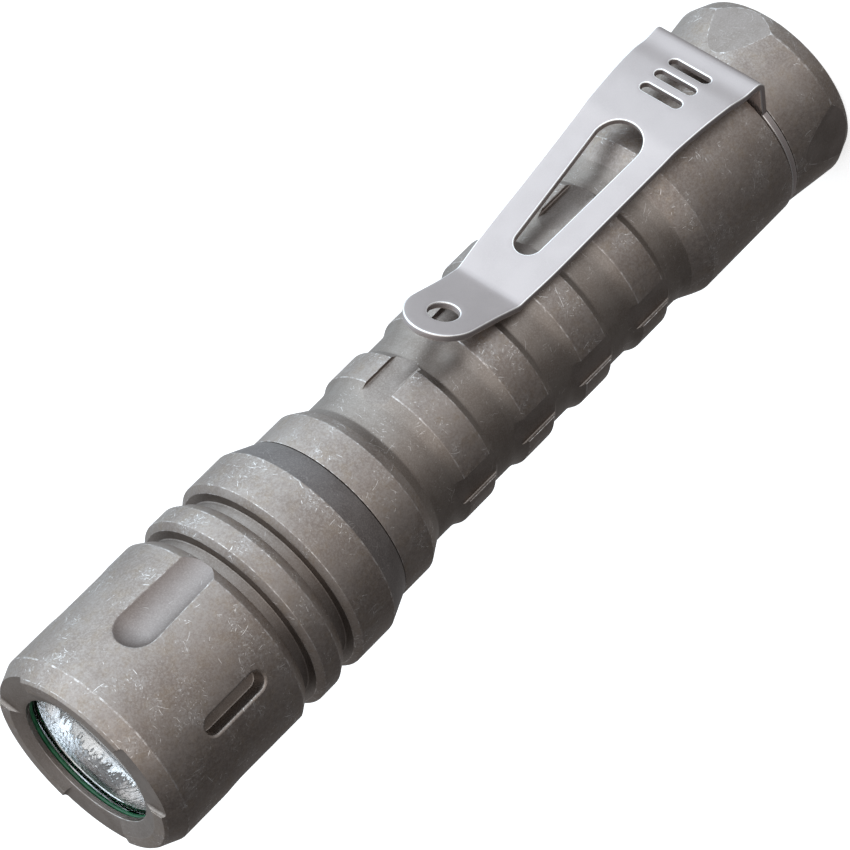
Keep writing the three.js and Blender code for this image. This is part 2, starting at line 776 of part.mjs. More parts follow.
// The strip seen from the side, with the inner face one thickness nearer the axis.
function stripOutline(outerFace) {
  const offset = outerFace.map(([reach, height], i) => {
    const [beforeReach, beforeHeight] = outerFace[Math.max(i - 1, 0)];
    const [afterReach, afterHeight] = outerFace[Math.min(i + 1, outerFace.length - 1)];
    const along = new THREE.Vector2(afterReach - beforeReach, afterHeight - beforeHeight);
    along.normalize();
    return [reach - CLIP_THICKNESS * along.y, height + CLIP_THICKNESS * along.x];
  });
  return [...outerFace, ...offset.reverse()];
}

// Raises a side outline, given as [distance from the axis, height], across the clip.
function acrossClip(outline, halfWidth) {
  const shape = new THREE.Shape(outline.map(([reach, height]) => new THREE.Vector2(-reach, height)));
  const strip = prism(shape, -halfWidth, halfWidth);
  const place = new THREE.Matrix4().makeBasis(
    new THREE.Vector3(0, 1, 0),
    new THREE.Vector3(0, 0, 1),
    new THREE.Vector3(1, 0, 0),
  );
  return moved(strip, place);
}

// Raises an outline in X and Z along -Y, right through the clip.
function throughClip(shape, height = 0, curveSegments = 8) {
  const cutter = prism(shape, 4, 14, curveSegments);
  const place = new THREE.Matrix4().makeRotationX(Math.PI / 2);
  return moved(cutter, place.setPosition(0, 0, height));
}

function armPlan() {
  const shape = new THREE.Shape();
  const [[firstWidth, firstHeight], ...rest] = ARM_HALF_WIDTHS;
  shape.moveTo(firstWidth, firstHeight);
  for (const [width, height] of rest) shape.lineTo(width, height);
  shape.absarc(0, EYE_HEIGHT, TONGUE_RADIUS, 0, Math.PI, false);
  for (const [width, height] of ARM_HALF_WIDTHS.slice(0, -1).reverse()) {
    shape.lineTo(-width, height);
  }
  return shape;
}

const WINDOW_BOTTOM = 16.1;
const WINDOW_TOP = 29.9;
const WINDOW_WIDTHS = [4.14, 2.4];
const PIERCED_HEIGHT = 10.9;
const PIERCED_PITCH = 1.75;
const PIERCED_SLOT = [3.9, 0.9];

function clipArm() {
  let arm = acrossClip(stripOutline(ARM_OUTER_FACE), 6).intersect(throughClip(armPlan()));
  const windowShape = slotShape(WINDOW_TOP - WINDOW_BOTTOM, ...WINDOW_WIDTHS);
  arm = arm.subtract(throughClip(windowShape, (WINDOW_BOTTOM + WINDOW_TOP) / 2));
  for (const side of [-1, 0, 1]) {
    const slot = throughClip(slotShape(...PIERCED_SLOT), PIERCED_HEIGHT, 4);
    const place = new THREE.Matrix4().makeTranslation(side * PIERCED_PITCH, 0, 0);
    arm = arm.subtract(moved(slot, place));
  }
  const eye = new THREE.Shape();
  eye.absarc(0, 0, EYE_RADIUS, 0, 2 * Math.PI, false);
  return arm.subtract(throughClip(eye, EYE_HEIGHT, 8));
}

// The flat ring round the neck, its riser, and the bend into the arm.
function clipRing() {
  const top = CLIP_RING_BOTTOM + CLIP_THICKNESS;
  const middle = CLIP_ROOT_REACH - CLIP_BEND_OUTER;
  const bendHeight = CLIP_RING_BOTTOM + CLIP_BEND_OUTER;
  const arc = (radius, from, to) => Array.from({ length: 5 }, (_, i) => {
    const angle = radians(from + ((to - from) * i) / 4);
    return [middle + radius * Math.cos(angle), bendHeight + radius * Math.sin(angle)];
  });
  const riser = acrossClip([
    [5, CLIP_RING_BOTTOM],
    ...arc(CLIP_BEND_OUTER, -90, 0),
    [CLIP_ROOT_REACH, FLEX_GAP_BOTTOM],
    [CLIP_ROOT_REACH - CLIP_THICKNESS, FLEX_GAP_BOTTOM],
    ...arc(CLIP_BEND_OUTER - CLIP_THICKNESS, 0, -90),
    [5, top],
  ], 5.18);
  const washer = ring(5, 7.8, CLIP_RING_BOTTOM, top, SHELL_SIDES);
  const bore = ring(0, THREAD_BORE_RADIUS + 0.1, CLIP_RING_BOTTOM - 1, top + 0.02, SHELL_SIDES);
  return washer.add(riser).subtract(bore);
}

add("clip_ring", clipRing(), "clipSteel");
add("clip_arm", clipArm(), "clipSteel");

export default flashlight;
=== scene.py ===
"""Looks of a stonewashed titanium keychain flashlight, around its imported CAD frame.

Lengths below are millimetres unless a name says otherwise. MM turns them into metres.
+Z runs along the barrel from the tail face to the front rim; the clip is on the -Y side.
"""
import math

import bmesh
import bpy
import numpy as np
from mathutils import Matrix, Vector, geometry, kdtree


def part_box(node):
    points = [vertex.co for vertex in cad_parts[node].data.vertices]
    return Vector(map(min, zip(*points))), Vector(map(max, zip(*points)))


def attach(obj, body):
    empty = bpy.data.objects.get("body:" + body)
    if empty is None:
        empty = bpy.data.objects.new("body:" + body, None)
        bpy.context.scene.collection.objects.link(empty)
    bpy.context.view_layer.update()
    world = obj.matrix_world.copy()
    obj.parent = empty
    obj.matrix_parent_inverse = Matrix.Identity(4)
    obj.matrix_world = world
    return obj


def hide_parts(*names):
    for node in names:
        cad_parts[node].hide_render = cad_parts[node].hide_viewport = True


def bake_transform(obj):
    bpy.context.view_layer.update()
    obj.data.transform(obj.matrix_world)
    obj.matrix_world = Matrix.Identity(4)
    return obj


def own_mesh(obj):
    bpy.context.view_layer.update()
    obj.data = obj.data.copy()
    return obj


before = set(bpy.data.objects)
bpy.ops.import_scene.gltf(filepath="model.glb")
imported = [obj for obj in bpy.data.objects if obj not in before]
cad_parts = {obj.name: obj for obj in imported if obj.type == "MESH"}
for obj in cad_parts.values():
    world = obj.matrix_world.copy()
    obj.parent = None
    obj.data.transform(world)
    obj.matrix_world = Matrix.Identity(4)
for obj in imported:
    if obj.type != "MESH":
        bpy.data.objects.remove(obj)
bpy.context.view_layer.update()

MM = 0.001

# ---- driving sizes, as in the CAD frame

TOTAL_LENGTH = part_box("head_shell")[1].z / MM
HEAD_RADIUS = 9.02
BODY_RADIUS = 7.95
RIDGE_RADIUS = 7.34
VALLEY_RADIUS = 6.9
NECK_RADIUS = 6.85
THREAD_ROOT = 6.55
THREAD_PITCH = 0.85
THREAD_BORE = 7.0
CELL_BORE = 5.45
CAP_LENGTH = 6.38
CLIP_THICKNESS = 0.6
CLIP_RING_BOTTOM = 6.41
TUBE_REAR = 7.04
TUBE_SHOULDER = 53.73
TUBE_FRONT = 59.1
HEAD_REAR = 53.8
POCKET_AZIMUTHS = (-83.7, 6.3, 96.3, 186.3)
SCOOP_AZIMUTHS = (-91.5, 28.5, 148.5)
SLOT_AZIMUTHS = (-151.5, -31.5, 88.5)
RIDGE_STARTS = (22.04, 28.94, 35.73, 42.66)

SHELL_SEGMENTS = 192
INNER_SEGMENTS = 96
SHARP_ANGLE = math.radians(33)
FILLET_STEPS = 4

# Finish index of each face on the titanium pieces. RECESS, VALLEY and SHADE faces take colours darkened as painted
# shade.
RAISED, WORN, RECESS, FLAT, SMOOTH, VALLEY, SHADE = range(7)


# ---- node graphs

class Graph:
    """A material's node tree, with short calls for the nodes that the finishes use."""

    def __init__(self, name):
        self.material = bpy.data.materials.new(name)
        self.material.use_nodes = True
        self.tree = self.material.node_tree
        self.tree.nodes.clear()
        output = self.node("ShaderNodeOutputMaterial")
        self.shader = self.node("ShaderNodeBsdfPrincipled")
        self.tree.links.new(self.shader.outputs["BSDF"], output.inputs["Surface"])
        coordinates = self.node("ShaderNodeTexCoord")
        self.place = self.vector("MULTIPLY", coordinates.outputs["Object"], (1 / MM,) * 3)
        self.normal = coordinates.outputs["Normal"]

    def node(self, kind, **settings):
        made = self.tree.nodes.new(kind)
        for key, value in settings.items():
            setattr(made, key, value)
        return made

    def feed(self, socket, value):
        if isinstance(value, bpy.types.NodeSocket):
            self.tree.links.new(value, socket)
        elif value is not None:
            socket.default_value = value

    def set(self, **values):
        """Sets or links inputs of the surface shader: base_color is Base Color."""
        for key, value in values.items():
            self.feed(self.shader.inputs[key.replace("_", " ").title()], value)
        return self

    def math(self, operation, a, b=None, c=None, clamp=False):
        made = self.node("ShaderNodeMath", operation=operation, use_clamp=clamp)
        for socket, value in zip(made.inputs, (a, b, c)):
            self.feed(socket, value)
        return made.outputs[0]

    def vector(self, operation, a, b=None, c=None):
        made = self.node("ShaderNodeVectorMath", operation=operation)
        for socket, value in zip(made.inputs, (a, b, c)):
            self.feed(socket, value)
        return made.outputs["Value" if operation == "DOT_PRODUCT" else "Vector"]

    def noise(self, scale, detail=3.0, roughness=0.55, vector=None):
        made = self.node("ShaderNodeTexNoise", noise_dimensions="3D")
        self.feed(made.inputs["Vector"], vector or self.place)
        made.inputs["Scale"].default_value = scale
        made.inputs["Detail"].default_value = detail
        made.inputs["Roughness"].default_value = roughness
        return made.outputs["Fac"]

    def ramp(self, value, low, high, to_low=0.0, to_high=1.0):
        """The value carried smoothly from low..high to to_low..to_high, and held outside it."""
        made = self.node("ShaderNodeMapRange", interpolation_type="SMOOTHSTEP")
        for socket, number in zip(made.inputs, (value, low, high, to_low, to_high)):
            self.feed(socket, number)
        return made.outputs[0]

    def mix(self, factor, a, b):
        made = self.node("ShaderNodeMix", data_type="RGBA")
        self.feed(made.inputs["Factor"], factor)
        self.feed(made.inputs[6], a)
        self.feed(made.inputs[7], b)
        return made.outputs[2]

    def bump(self, height, depth, strength=1.0, under=None):
        """A normal from a height of 0 to 1 that stands for `depth` millimetres."""
        made = self.node("ShaderNodeBump")
        made.inputs["Strength"].default_value = strength
        made.inputs["Distance"].default_value = depth * MM
        self.feed(made.inputs["Height"], height)
        self.feed(made.inputs["Normal"], under)
        return made.outputs[0]

    def strokes(self, cell, length, width, share, offset=0.0, bend=0.0, crowd=None):
        """Short strokes at random angles in the surface, one to each kept cell."""
        place = self.vector("ADD", self.place, (offset, offset * 1.7, offset * 0.6))
        cells = self.node("ShaderNodeTexVoronoi", voronoi_dimensions="3D", feature="F1")
        self.feed(cells.inputs["Vector"], place)
        cells.inputs["Scale"].default_value = 1 / cell
        lot = self.vector("MULTIPLY_ADD", cells.outputs["Color"], (2, 2, 2), (-1, -1, -1))
        draw = self.node("ShaderNodeTexWhiteNoise", noise_dimensions="3D")
        self.feed(draw.inputs["Vector"], cells.outputs["Position"])
        chance = draw.outputs["Value"]
        along_way = self.vector("NORMALIZE", self.vector("CROSS_PRODUCT", self.normal, lot))
        across_way = self.vector("CROSS_PRODUCT", self.normal, along_way)
        apart = self.vector("SUBTRACT", place, cells.outputs["Position"])
        along = self.vector("DOT_PRODUCT", apart, along_way)
        across = self.vector("DOT_PRODUCT", apart, across_way)
        if bend:
            across = self.math("MULTIPLY_ADD", self.math("MULTIPLY", along, along), bend, across)
        across = self.math("ABSOLUTE", across)
        reach = self.math("MULTIPLY", self.math("ADD", chance, 0.35), length / 2)
        gone = self.math("DIVIDE", self.math("ABSOLUTE", along), reach)
        ends = self.math("SUBTRACT", 1.0, gone, clamp=True)
        sides = self.ramp(across, width * 0.5, width * 0.15)
        if crowd is not None:
            chance = self.math("ADD", chance, crowd)
        kept = self.ramp(chance, 1 - share, 1 - share + 0.15)
        shape = self.math("MULTIPLY", sides, self.ramp(ends, 0.0, 0.5))
        return self.math("MULTIPLY", shape, kept)


def scaled(colour, factor):
    """A colour made lighter or darker."""
    return (*(min(channel * factor, 1.0) for channel in colour[:3]), 1)


# ---- titanium

TITANIUM_DARK = (0.270, 0.226, 0.199, 1)
TITANIUM_LIGHT = (0.335, 0.290, 0.262, 1)
TITANIUM_BROWN = (0.300, 0.240, 0.184, 1)
TITANIUM_PALE = (0.395, 0.358, 0.330, 1)
TITANIUM_GRIME = (0.200, 0.165, 0.148, 1)
HAZE = (0.470, 0.445, 0.430, 1)
RUBBED = (0.680, 0.650, 0.630, 1)
FLECK = (0.860, 0.830, 0.800, 1)


def stonewash_layers(g):
    """What tumbling leaves: mottling, grain, and clusters of short pale marks."""
    broad = g.noise(0.22, detail=4, roughness=0.6)
    clusters = g.noise(0.42, detail=4, roughness=0.65)
    fine = g.noise(5.5, detail=3, roughness=0.75)
    crowd = g.ramp(clusters, 0.36, 0.68, -0.24, 0.12)
    marks = (
        # cell, length, width, share kept, offset, bend, strength
        (1.20, 0.95, 0.055, 0.22, 41.9, -0.25, 0.95),
        (0.66, 0.48, 0.060, 0.18, 3.1, 0.3, 0.95),
        (0.50, 0.34, 0.055, 0.17, 23.6, -0.2, 0.75),
        (0.37, 0.20, 0.070, 0.17, 17.3, 0.0, 0.75),
        (0.26, 0.10, 0.085, 0.12, 71.3, 0.0, 0.70),
    )
    flecks = 0.0
    for cell, length, width, share, offset, bend, strength in marks:
        layer = g.strokes(cell, length, width, share, offset, bend, crowd)
        flecks = g.math("MULTIPLY_ADD", layer, strength, flecks, clamp=True)
    return broad, clusters, fine, flecks


def bare_titanium(g, broad, fine):
    """The colour under the marks: grey with brown and pale patches, and a fine grain."""
    tone = g.mix(g.ramp(broad, 0.35, 0.65), TITANIUM_DARK, TITANIUM_LIGHT)
    tone = g.mix(g.ramp(g.noise(0.9, detail=5, roughness=0.65), 0.45, 0.7, 0, 0.55), tone, TITANIUM_BROWN)
    tone = g.mix(g.ramp(fine, 0.42, 0.66, 0, 0.55), tone, TITANIUM_PALE)
    return g.mix(g.ramp(fine, 0.48, 0.30, 0, 0.30), tone, TITANIUM_GRIME)


def stonewashed():
    """The tumbled outer faces."""
    g = Graph("stonewashed_metal")
    broad, clusters, fine, flecks = stonewash_layers(g)
    tone = bare_titanium(g, broad, fine)
    haze = g.math("MULTIPLY", g.ramp(clusters, 0.48, 0.70), g.ramp(fine, 0.42, 0.60, 0.1, 0.5))
    tone = g.mix(haze, tone, HAZE)
    tone = g.mix(g.math("MULTIPLY", flecks, g.ramp(fine, 0.25, 0.55, 0.5, 1.0)), tone, FLECK)
    rough = g.ramp(g.noise(2.4, detail=4), 0.3, 0.7, 0.42, 0.54)
    rough = g.math("MULTIPLY_ADD", flecks, -0.16, rough)
    dents = g.bump(g.noise(3.2, detail=5, roughness=0.65), 0.010)
    scored = g.bump(flecks, 0.004, under=dents)
    return g.set(base_color=tone, metallic=1.0, roughness=rough, normal=scored).material


def worn_edge():
    """Edges rubbed bright by the tumbling, broken where the rubbing missed."""
    g = Graph("worn_edge")
    broad, _, fine, flecks = stonewash_layers(g)
    rubbed = g.ramp(g.noise(1.7, detail=5, roughness=0.7), 0.44, 0.66)
    rubbed = g.math("MULTIPLY", rubbed, g.ramp(fine, 0.2, 0.5, 0.45, 1.0))
    under = g.mix(g.math("MULTIPLY", flecks, 0.7), bare_titanium(g, broad, fine), FLECK)
    tone = g.mix(g.math("MULTIPLY_ADD", rubbed, 0.8, 0.03, clamp=True), under, RUBBED)
    rough = g.ramp(rubbed, 0.0, 1.0, 0.48, 0.36)
    nicks = g.bump(g.noise(6.0, detail=4, roughness=0.7), 0.008)
    return g.set(base_color=tone, metallic=1.0, roughness=rough, normal=nicks).material


def sheltered(name, dark, light, lined=False, marked=0.0):
    """Metal that the tumbling hardly reached, in the dark and light colours given. Where it lines grooves, bores,
    the hollows of the grip and the neck cone, those colours are darkened as painted shade.

    `lined` shows turning lines, and `marked` is how strongly the tumbling's marks show.
    """
    g = Graph(name)
    broad = g.noise(0.5, detail=4, roughness=0.6)
    drawn_out = g.vector("MULTIPLY", g.place, (0.10, 0.10, 14.0))
    turning = g.noise(1.0, detail=2, roughness=0.5, vector=drawn_out)
    fine = g.noise(8.0, detail=3, roughness=0.7)
    tone = g.mix(g.ramp(broad, 0.35, 0.65), dark, light)
    tone = g.mix(g.ramp(fine, 0.4, 0.7, 0, 0.40), tone, TITANIUM_PALE)
    if marked:
        marks = g.math("MULTIPLY", stonewash_layers(g)[3], marked)
    else:
        marks = g.math("MULTIPLY", g.strokes(0.75, 0.40, 0.08, 0.08, offset=5.7), 0.5)
    tone = g.mix(marks, tone, FLECK)
    rough = g.ramp(turning if lined else broad, 0.3, 0.7, 0.42, 0.50)
    grain = g.bump(fine, 0.004)
    if lined:
        grain = g.bump(turning, 0.0025, under=grain)
    return g.set(base_color=tone, metallic=1.0, roughness=rough, normal=grain).material


# ---- other finishes

def brushed_metal(name, colour, rough):
    """Plated or turned metal with a fine grain and long scratches."""
    g = Graph(name)
    fine = g.noise(16.0, detail=3, roughness=0.7)
    broad = g.noise(0.6, detail=3)
    marks = g.strokes(1.3, 1.4, 0.035, 0.25, offset=9.4, bend=0.2)
    tone = g.mix(g.ramp(broad, 0.3, 0.7), scaled(colour, 0.82), colour)
    tone = g.mix(g.math("MULTIPLY", marks, 0.5), tone, scaled(colour, 1.18))
    shine = g.ramp(fine, 0.3, 0.7, rough * 0.85, rough * 1.2)
    relief = g.bump(marks, 0.002, under=g.bump(fine, 0.0015))
    return g.set(base_color=tone, metallic=1.0, roughness=shine, normal=relief).material


def satin_steel():
    """The clip: sheet steel blasted to an even satin, with a fine sparkle and a few rubs."""
    g = Graph("clip_steel")
    grain = g.noise(13.0, detail=2, roughness=0.8)
    broad = g.noise(0.35, detail=2)
    tone = g.mix(g.ramp(broad, 0.3, 0.7), (0.435, 0.386, 0.372, 1), (0.463, 0.412, 0.397, 1))
    tone = g.mix(g.ramp(grain, 0.35, 0.7, 0, 0.5), tone, (0.540, 0.485, 0.470, 1))
    rubs = g.strokes(1.6, 1.2, 0.06, 0.10, offset=9.4, bend=0.2)
    tone = g.mix(g.math("MULTIPLY", rubs, 0.3), tone, (0.55, 0.52, 0.51, 1))
    shine = g.ramp(grain, 0.3, 0.7, 0.44, 0.54)
    return g.set(base_color=tone, metallic=1.0, roughness=shine, normal=g.bump(grain, 0.004)).material


def polished_metal(name, colour, rough):
    g = Graph(name)
    broad = g.noise(1.1, detail=4, roughness=0.65)
    tone = g.mix(g.ramp(broad, 0.35, 0.7), colour, scaled(colour, 0.86))
    shine = g.ramp(broad, 0.3, 0.7, rough * 0.7, rough * 1.5)
    relief = g.bump(g.noise(5.0, detail=3), 0.0008)
    return g.set(base_color=tone, metallic=1.0, roughness=shine, normal=relief).material


def moulded(name, colour, rough, spread=0.2, grain=0.004, grain_scale=9.0, coat=0.0):
    """Plastic, lacquer or rubber: a slightly uneven colour over a fine moulded grain."""
    g = Graph(name)
    broad = g.noise(0.7, detail=4)
    fine = g.noise(grain_scale, detail=3, roughness=0.6)
    tone = g.mix(g.ramp(broad, 0.3, 0.7), scaled(colour, 1 - spread), scaled(colour, 1 + spread))
    shine = g.ramp(fine, 0.3, 0.7, rough * 0.85, min(rough * 1.15, 1.0))
    g.shader.inputs["Coat Weight"].default_value = coat
    return g.set(base_color=tone, roughness=shine, normal=g.bump(fine, grain)).material


def glow_green():
    """The front seal: translucent green silicone."""
    g = Graph("glow_green")
    broad = g.noise(1.4, detail=3)
    tone = g.mix(g.ramp(broad, 0.3, 0.7), (0.008, 0.080, 0.032, 1), (0.017, 0.125, 0.052, 1))
    g.shader.inputs["Subsurface Weight"].default_value = 0.15
    g.shader.inputs["Subsurface Radius"].default_value = (0.0004, 0.0008, 0.0004)
    shine = g.ramp(broad, 0.3, 0.7, 0.28, 0.4)
    return g.set(base_color=tone, roughness=shine, normal=g.bump(g.noise(12.0), 0.002)).material


def clear_glass():
    g = Graph("lens_glass")
    g.shader.inputs["Transmission Weight"].default_value = 1.0
    g.shader.inputs["IOR"].default_value = 1.46
    smear = g.ramp(g.noise(0.35, detail=3), 0.45, 0.75, 0.0, 0.035)
    tone = g.mix(smear, (0.985, 0.995, 0.99, 1), (0.96, 0.98, 0.98, 1))
    return g.set(base_color=tone, roughness=smear).material


def reflector_mirror():
    """Vapour-coated aluminium over a lightly dimpled bowl."""
    g = Graph("reflector_mirror")
    dimples = g.node("ShaderNodeTexVoronoi", feature="SMOOTH_F1")
    g.feed(dimples.inputs["Vector"], g.place)
    dimples.inputs["Scale"].default_value = 3.6
    dimples.inputs["Smoothness"].default_value = 0.5
    ripple = g.noise(1.0, detail=4, roughness=0.7)
    tone = g.mix(g.ramp(ripple, 0.3, 0.7), (0.97, 0.97, 0.98, 1), (0.90, 0.90, 0.92, 1))
    peel = g.bump(dimples.outputs["Distance"], 0.022, strength=0.8)
    peel = g.bump(ripple, 0.05, strength=0.6, under=peel)
    shine = g.ramp(ripple, 0.3, 0.7, 0.05, 0.12)
    return g.set(base_color=tone, metallic=1.0, roughness=shine, normal=peel).material


def emitter_yellow():
    g = Graph("emitter")
    phosphor = g.noise(9.0, detail=3)
    tone = g.mix(g.ramp(phosphor, 0.3, 0.7), (0.80, 0.62, 0.10, 1), (0.90, 0.76, 0.22, 1))
    g.shader.inputs["Coat Weight"].default_value = 0.8
    g.shader.inputs["Coat Roughness"].default_value = 0.05
    return g.set(base_color=tone, roughness=0.35, normal=g.bump(phosphor, 0.002)).material


def circuit_board(name, mask, copper):
    """Solder mask over faint tracks, which show as a raised pattern."""
    g = Graph(name)
    tracks = g.node("ShaderNodeTexBrick")
    g.feed(tracks.inputs["Vector"], g.place)
    tracks.inputs["Scale"].default_value = 0.9
    tracks.inputs["Mortar Size"].default_value = 0.035
    track = tracks.outputs["Fac"]
    grain = g.noise(6.0, detail=3)
    tone = g.mix(g.ramp(grain, 0.3, 0.7), mask, scaled(mask, 0.8))
    tone = g.mix(g.math("MULTIPLY", track, 0.6), tone, copper)
    relief = g.bump(g.math("MULTIPLY_ADD", grain, 0.2, track), 0.02)
    return g.set(base_color=tone, roughness=g.ramp(grain, 0.3, 0.7, 0.28, 0.42), normal=relief).material


FINISHES = {
    "stonewashed_metal": stonewashed(),
    "clip_steel": satin_steel(),
    "glow_green": glow_green(),
    "lens_glass": clear_glass(),
    "reflector_mirror": reflector_mirror(),
    "emitter": emitter_yellow(),
    "brass": brushed_metal("brass", (0.66, 0.47, 0.17, 1), 0.28),
    "cell_steel": brushed_metal("cell_steel", (0.56, 0.565, 0.58, 1), 0.26),
    "gold_spring": polished_metal("gold_spring", (0.75, 0.56, 0.22, 1), 0.22),
    "white_plastic": moulded("white_plastic", (0.74, 0.74, 0.71, 1), 0.45, spread=0.06),
    "black_plastic": moulded("black_plastic", (0.020, 0.020, 0.022, 1), 0.42, spread=0.35),
    "black_rubber": moulded("black_rubber", (0.018, 0.018, 0.018, 1), 0.68, spread=0.4, grain=0.010, grain_scale=14),
    "red_wire": moulded("red_wire", (0.42, 0.022, 0.018, 1), 0.42, spread=0.15),
    "black_wire": moulded("black_wire", (0.018, 0.018, 0.019, 1), 0.42, spread=0.3),
    "cell_jacket": moulded("cell_jacket", (0.045, 0.120, 0.270, 1), 0.30, spread=0.12, grain=0.002, coat=0.4),
    "white_board": circuit_board("white_board", (0.72, 0.73, 0.73, 1), (0.60, 0.55, 0.42, 1)),
    "green_board": circuit_board("green_board", (0.012, 0.085, 0.030, 1), (0.05, 0.20, 0.07, 1)),
}
WORN_EDGE = worn_edge()
# Grooves, bores and pocket floors: turned metal with few marks, coloured darker than the open faces as painted shade
# in the recesses.
RECESS_PAINTED_SHADE = sheltered("recess_painted_shade", (0.214, 0.180, 0.158, 1), (0.262, 0.226, 0.203, 1), lined=True)
# The hollows between the grip ridges: fewer marks, and a darker colour that is painted shade between the ridges.
VALLEYS_PAINTED_SHADE = sheltered("valleys_painted_shade", (0.232, 0.196, 0.170, 1), (0.276, 0.240, 0.213, 1), lined=True, marked=0.45)
FLATS = sheltered("flats", (0.250, 0.212, 0.188, 1), (0.295, 0.255, 0.232, 1), marked=0.2)
SCOOPED = sheltered("scooped", (0.242, 0.206, 0.190, 1), (0.278, 0.240, 0.224, 1))
# The cone behind the head: smooth with few marks, and darker and bluer as a painted shade band where the slope faces
# away from the light.
SHADED = sheltered("shaded_neck", (0.186, 0.165, 0.158, 1), (0.222, 0.201, 0.194, 1), marked=0.3)
# Polished rims of the clip, in a colour much paler than the blasted steel: partly real polish, partly a painted
# highlight on the rounded edges and on the ring's wall.
CLIP_RIM_WITH_HIGHLIGHT = polished_metal("clip_rim_painted_highlight", (0.86, 0.83, 0.81, 1), 0.2)


def titanium():
    return [FINISHES["stonewashed_metal"], WORN_EDGE, RECESS_PAINTED_SHADE, FLATS, SCOOPED, VALLEYS_PAINTED_SHADE, SHADED]


# ---- meshes

def new_object(name, bm, materials):
    """An object from a bmesh given in millimetres, with smooth faces and sharp creases."""
    bmesh.ops.scale(bm, vec=(MM, MM, MM), verts=bm.verts)
    mesh = bpy.data.meshes.new(name)
    bm.to_mesh(mesh)
    bm.free()
    for material in materials:
        mesh.materials.append(material)
    made = bpy.data.objects.new(name, mesh)
    bpy.context.scene.collection.objects.link(made)
    mark_creases(made)
    return made


def mark_creases(thing):
    """Smooths every face, and keeps the edges that turn sharply as creases."""
    bm = bmesh.new()
    bm.from_mesh(thing.data)
    for face in bm.faces:
        face.smooth = True
    for edge in bm.edges:
        edge.smooth = len(edge.link_faces) == 2 and edge.calc_face_angle() < SHARP_ANGLE
    bm.to_mesh(thing.data)
    bm.free()


def finished(thing, body, slot, *nodes):
    """Rides a piece on its body and hides the CAD nodes that it stands for. Its `slot` is not used."""
    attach(thing, body)
    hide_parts(*nodes)
    return thing


def fillet(before, corner, after, width):
    """The points that round a corner with an arc of the given length."""
    a, c, b = (Vector(point) for point in (before, corner, after))
    back, ahead = (a - c), (b - c)
    room = 0.45 * min(back.length, ahead.length)
    back.normalize()
    ahead.normalize()
    turn = math.pi - back.angle(ahead, math.pi)
    if turn < 0.02:
        return [tuple(c)]
    tangent = min(width / turn * math.tan(turn / 2), room)
    radius = tangent / math.tan(turn / 2)
    centre = c + (back + ahead).normalized() * (radius / math.cos(turn / 2))
    start = c + back * tangent - centre
    end = c + ahead * tangent - centre
    points = []
    for i in range(FILLET_STEPS + 1):
        share = i / FILLET_STEPS
        weight_start = math.sin((1 - share) * turn) / math.sin(turn)
        weight_end = math.sin(share * turn) / math.sin(turn)
        points.append(tuple(centre + start * weight_start + end * weight_end))
    return points


def rounded(outline):
    """An outline's points, and for each the rounding flag of the stretch that follows it.

    Each corner is (radius, height) or (radius, height, width of the rounding).
    """
    corners = [point[:2] for point in outline]
    area = sum(x * y2 - x2 * y for (x, y), (x2, y2) in zip(corners, corners[1:] + corners[:1]))
    points, flags = [], []
    count = len(outline)
    for i, point in enumerate(outline):
        here = point[:2]
        if len(point) < 3:
            points.append(here)
            flags.append(False)
            continue
        before, after = corners[i - 1], corners[(i + 1) % count]
        arc = fillet(before, here, after, point[2])
        turn = (here[0] - before[0]) * (after[1] - here[1]) - (here[1] - before[1]) * (after[0] - here[0])
        convex = turn * area > 0
        points += arc
        flags += [convex] * (len(arc) - 1) + [False]
    return points, flags


def with_rows(points, flags, row):
    """Splits long stretches into rows, so that no face is much longer than `row`."""
    made, made_flags = [], []
    for i, (point, flag) in enumerate(zip(points, flags)):
        after = points[(i + 1) % len(points)]
        apart = math.dist(point, after)
        count = max(1, round(apart / row)) if i + 1 < len(points) else 1
        for k in range(count):
            share = k / count
            made.append(tuple(p + (q - p) * share for p, q in zip(point, after)))
            made_flags.append(flag)
    return made, made_flags


def lathe(name, outline, materials, finish=None, segments=INNER_SEGMENTS, row=None, at=(0, 0)):
    """A body of revolution. finish(radius, height, is_worn_edge) picks each band's material."""
    points, flags = rounded(outline)
    if row:
        points, flags = with_rows(points, flags, row)
    bm = bmesh.new()
    turns = [2 * math.pi * k / segments for k in range(segments)]
    rings = []
    for radius, height in points:
        if radius < 1e-6:
            rings.append([bm.verts.new((at[0], at[1], height))])
            continue
        rings.append([
            bm.verts.new((at[0] + radius * math.cos(t), at[1] + radius * math.sin(t), height))
            for t in turns
        ])
    for i, low in enumerate(rings):
        high = rings[(i + 1) % len(rings)]
        if len(low) == len(high) == 1:
            continue
        middle = [(p + q) / 2 for p, q in zip(points[i], points[(i + 1) % len(points)])]
        index = finish(*middle, flags[i]) if finish else 0
        for k in range(segments):
            after = (k + 1) % segments
            around = ((low, k), (low, after), (high, after), (high, k))
            corners = dict.fromkeys(ring[step % len(ring)] for ring, step in around)
            bm.faces.new(list(corners)).material_index = index
    bmesh.ops.recalc_face_normals(bm, faces=bm.faces)
    return new_object(name, bm, materials)


def bridge(bm, low, high, index=0):
    """Quads between two rings of as many vertices."""
    for k in range(len(low)):
        after = (k + 1) % len(low)
        bm.faces.new((low[k], low[after], high[after], high[k])).material_index = index


def cut(thing, cutters):
    """Takes the cutters out of a piece; each cut face keeps its cutter's finish."""
    bpy.context.view_layer.update()
    tool = cutters[0]
    with bpy.context.temp_override(
        active_object=tool, object=tool, selected_objects=cutters, selected_editable_objects=cutters,
    ):
        bpy.ops.object.join()
    modifier = thing.modifiers.new("cut", "BOOLEAN")
    modifier.operation = "DIFFERENCE"
    modifier.solver = "EXACT"
    modifier.object = tool
    settled = thing.evaluated_get(bpy.context.evaluated_depsgraph_get())
    mesh = bpy.data.meshes.new_from_object(settled)
    thing.modifiers.clear()
    thing.data = mesh
    bpy.data.objects.remove(tool)
    mark_creases(thing)
    return thing


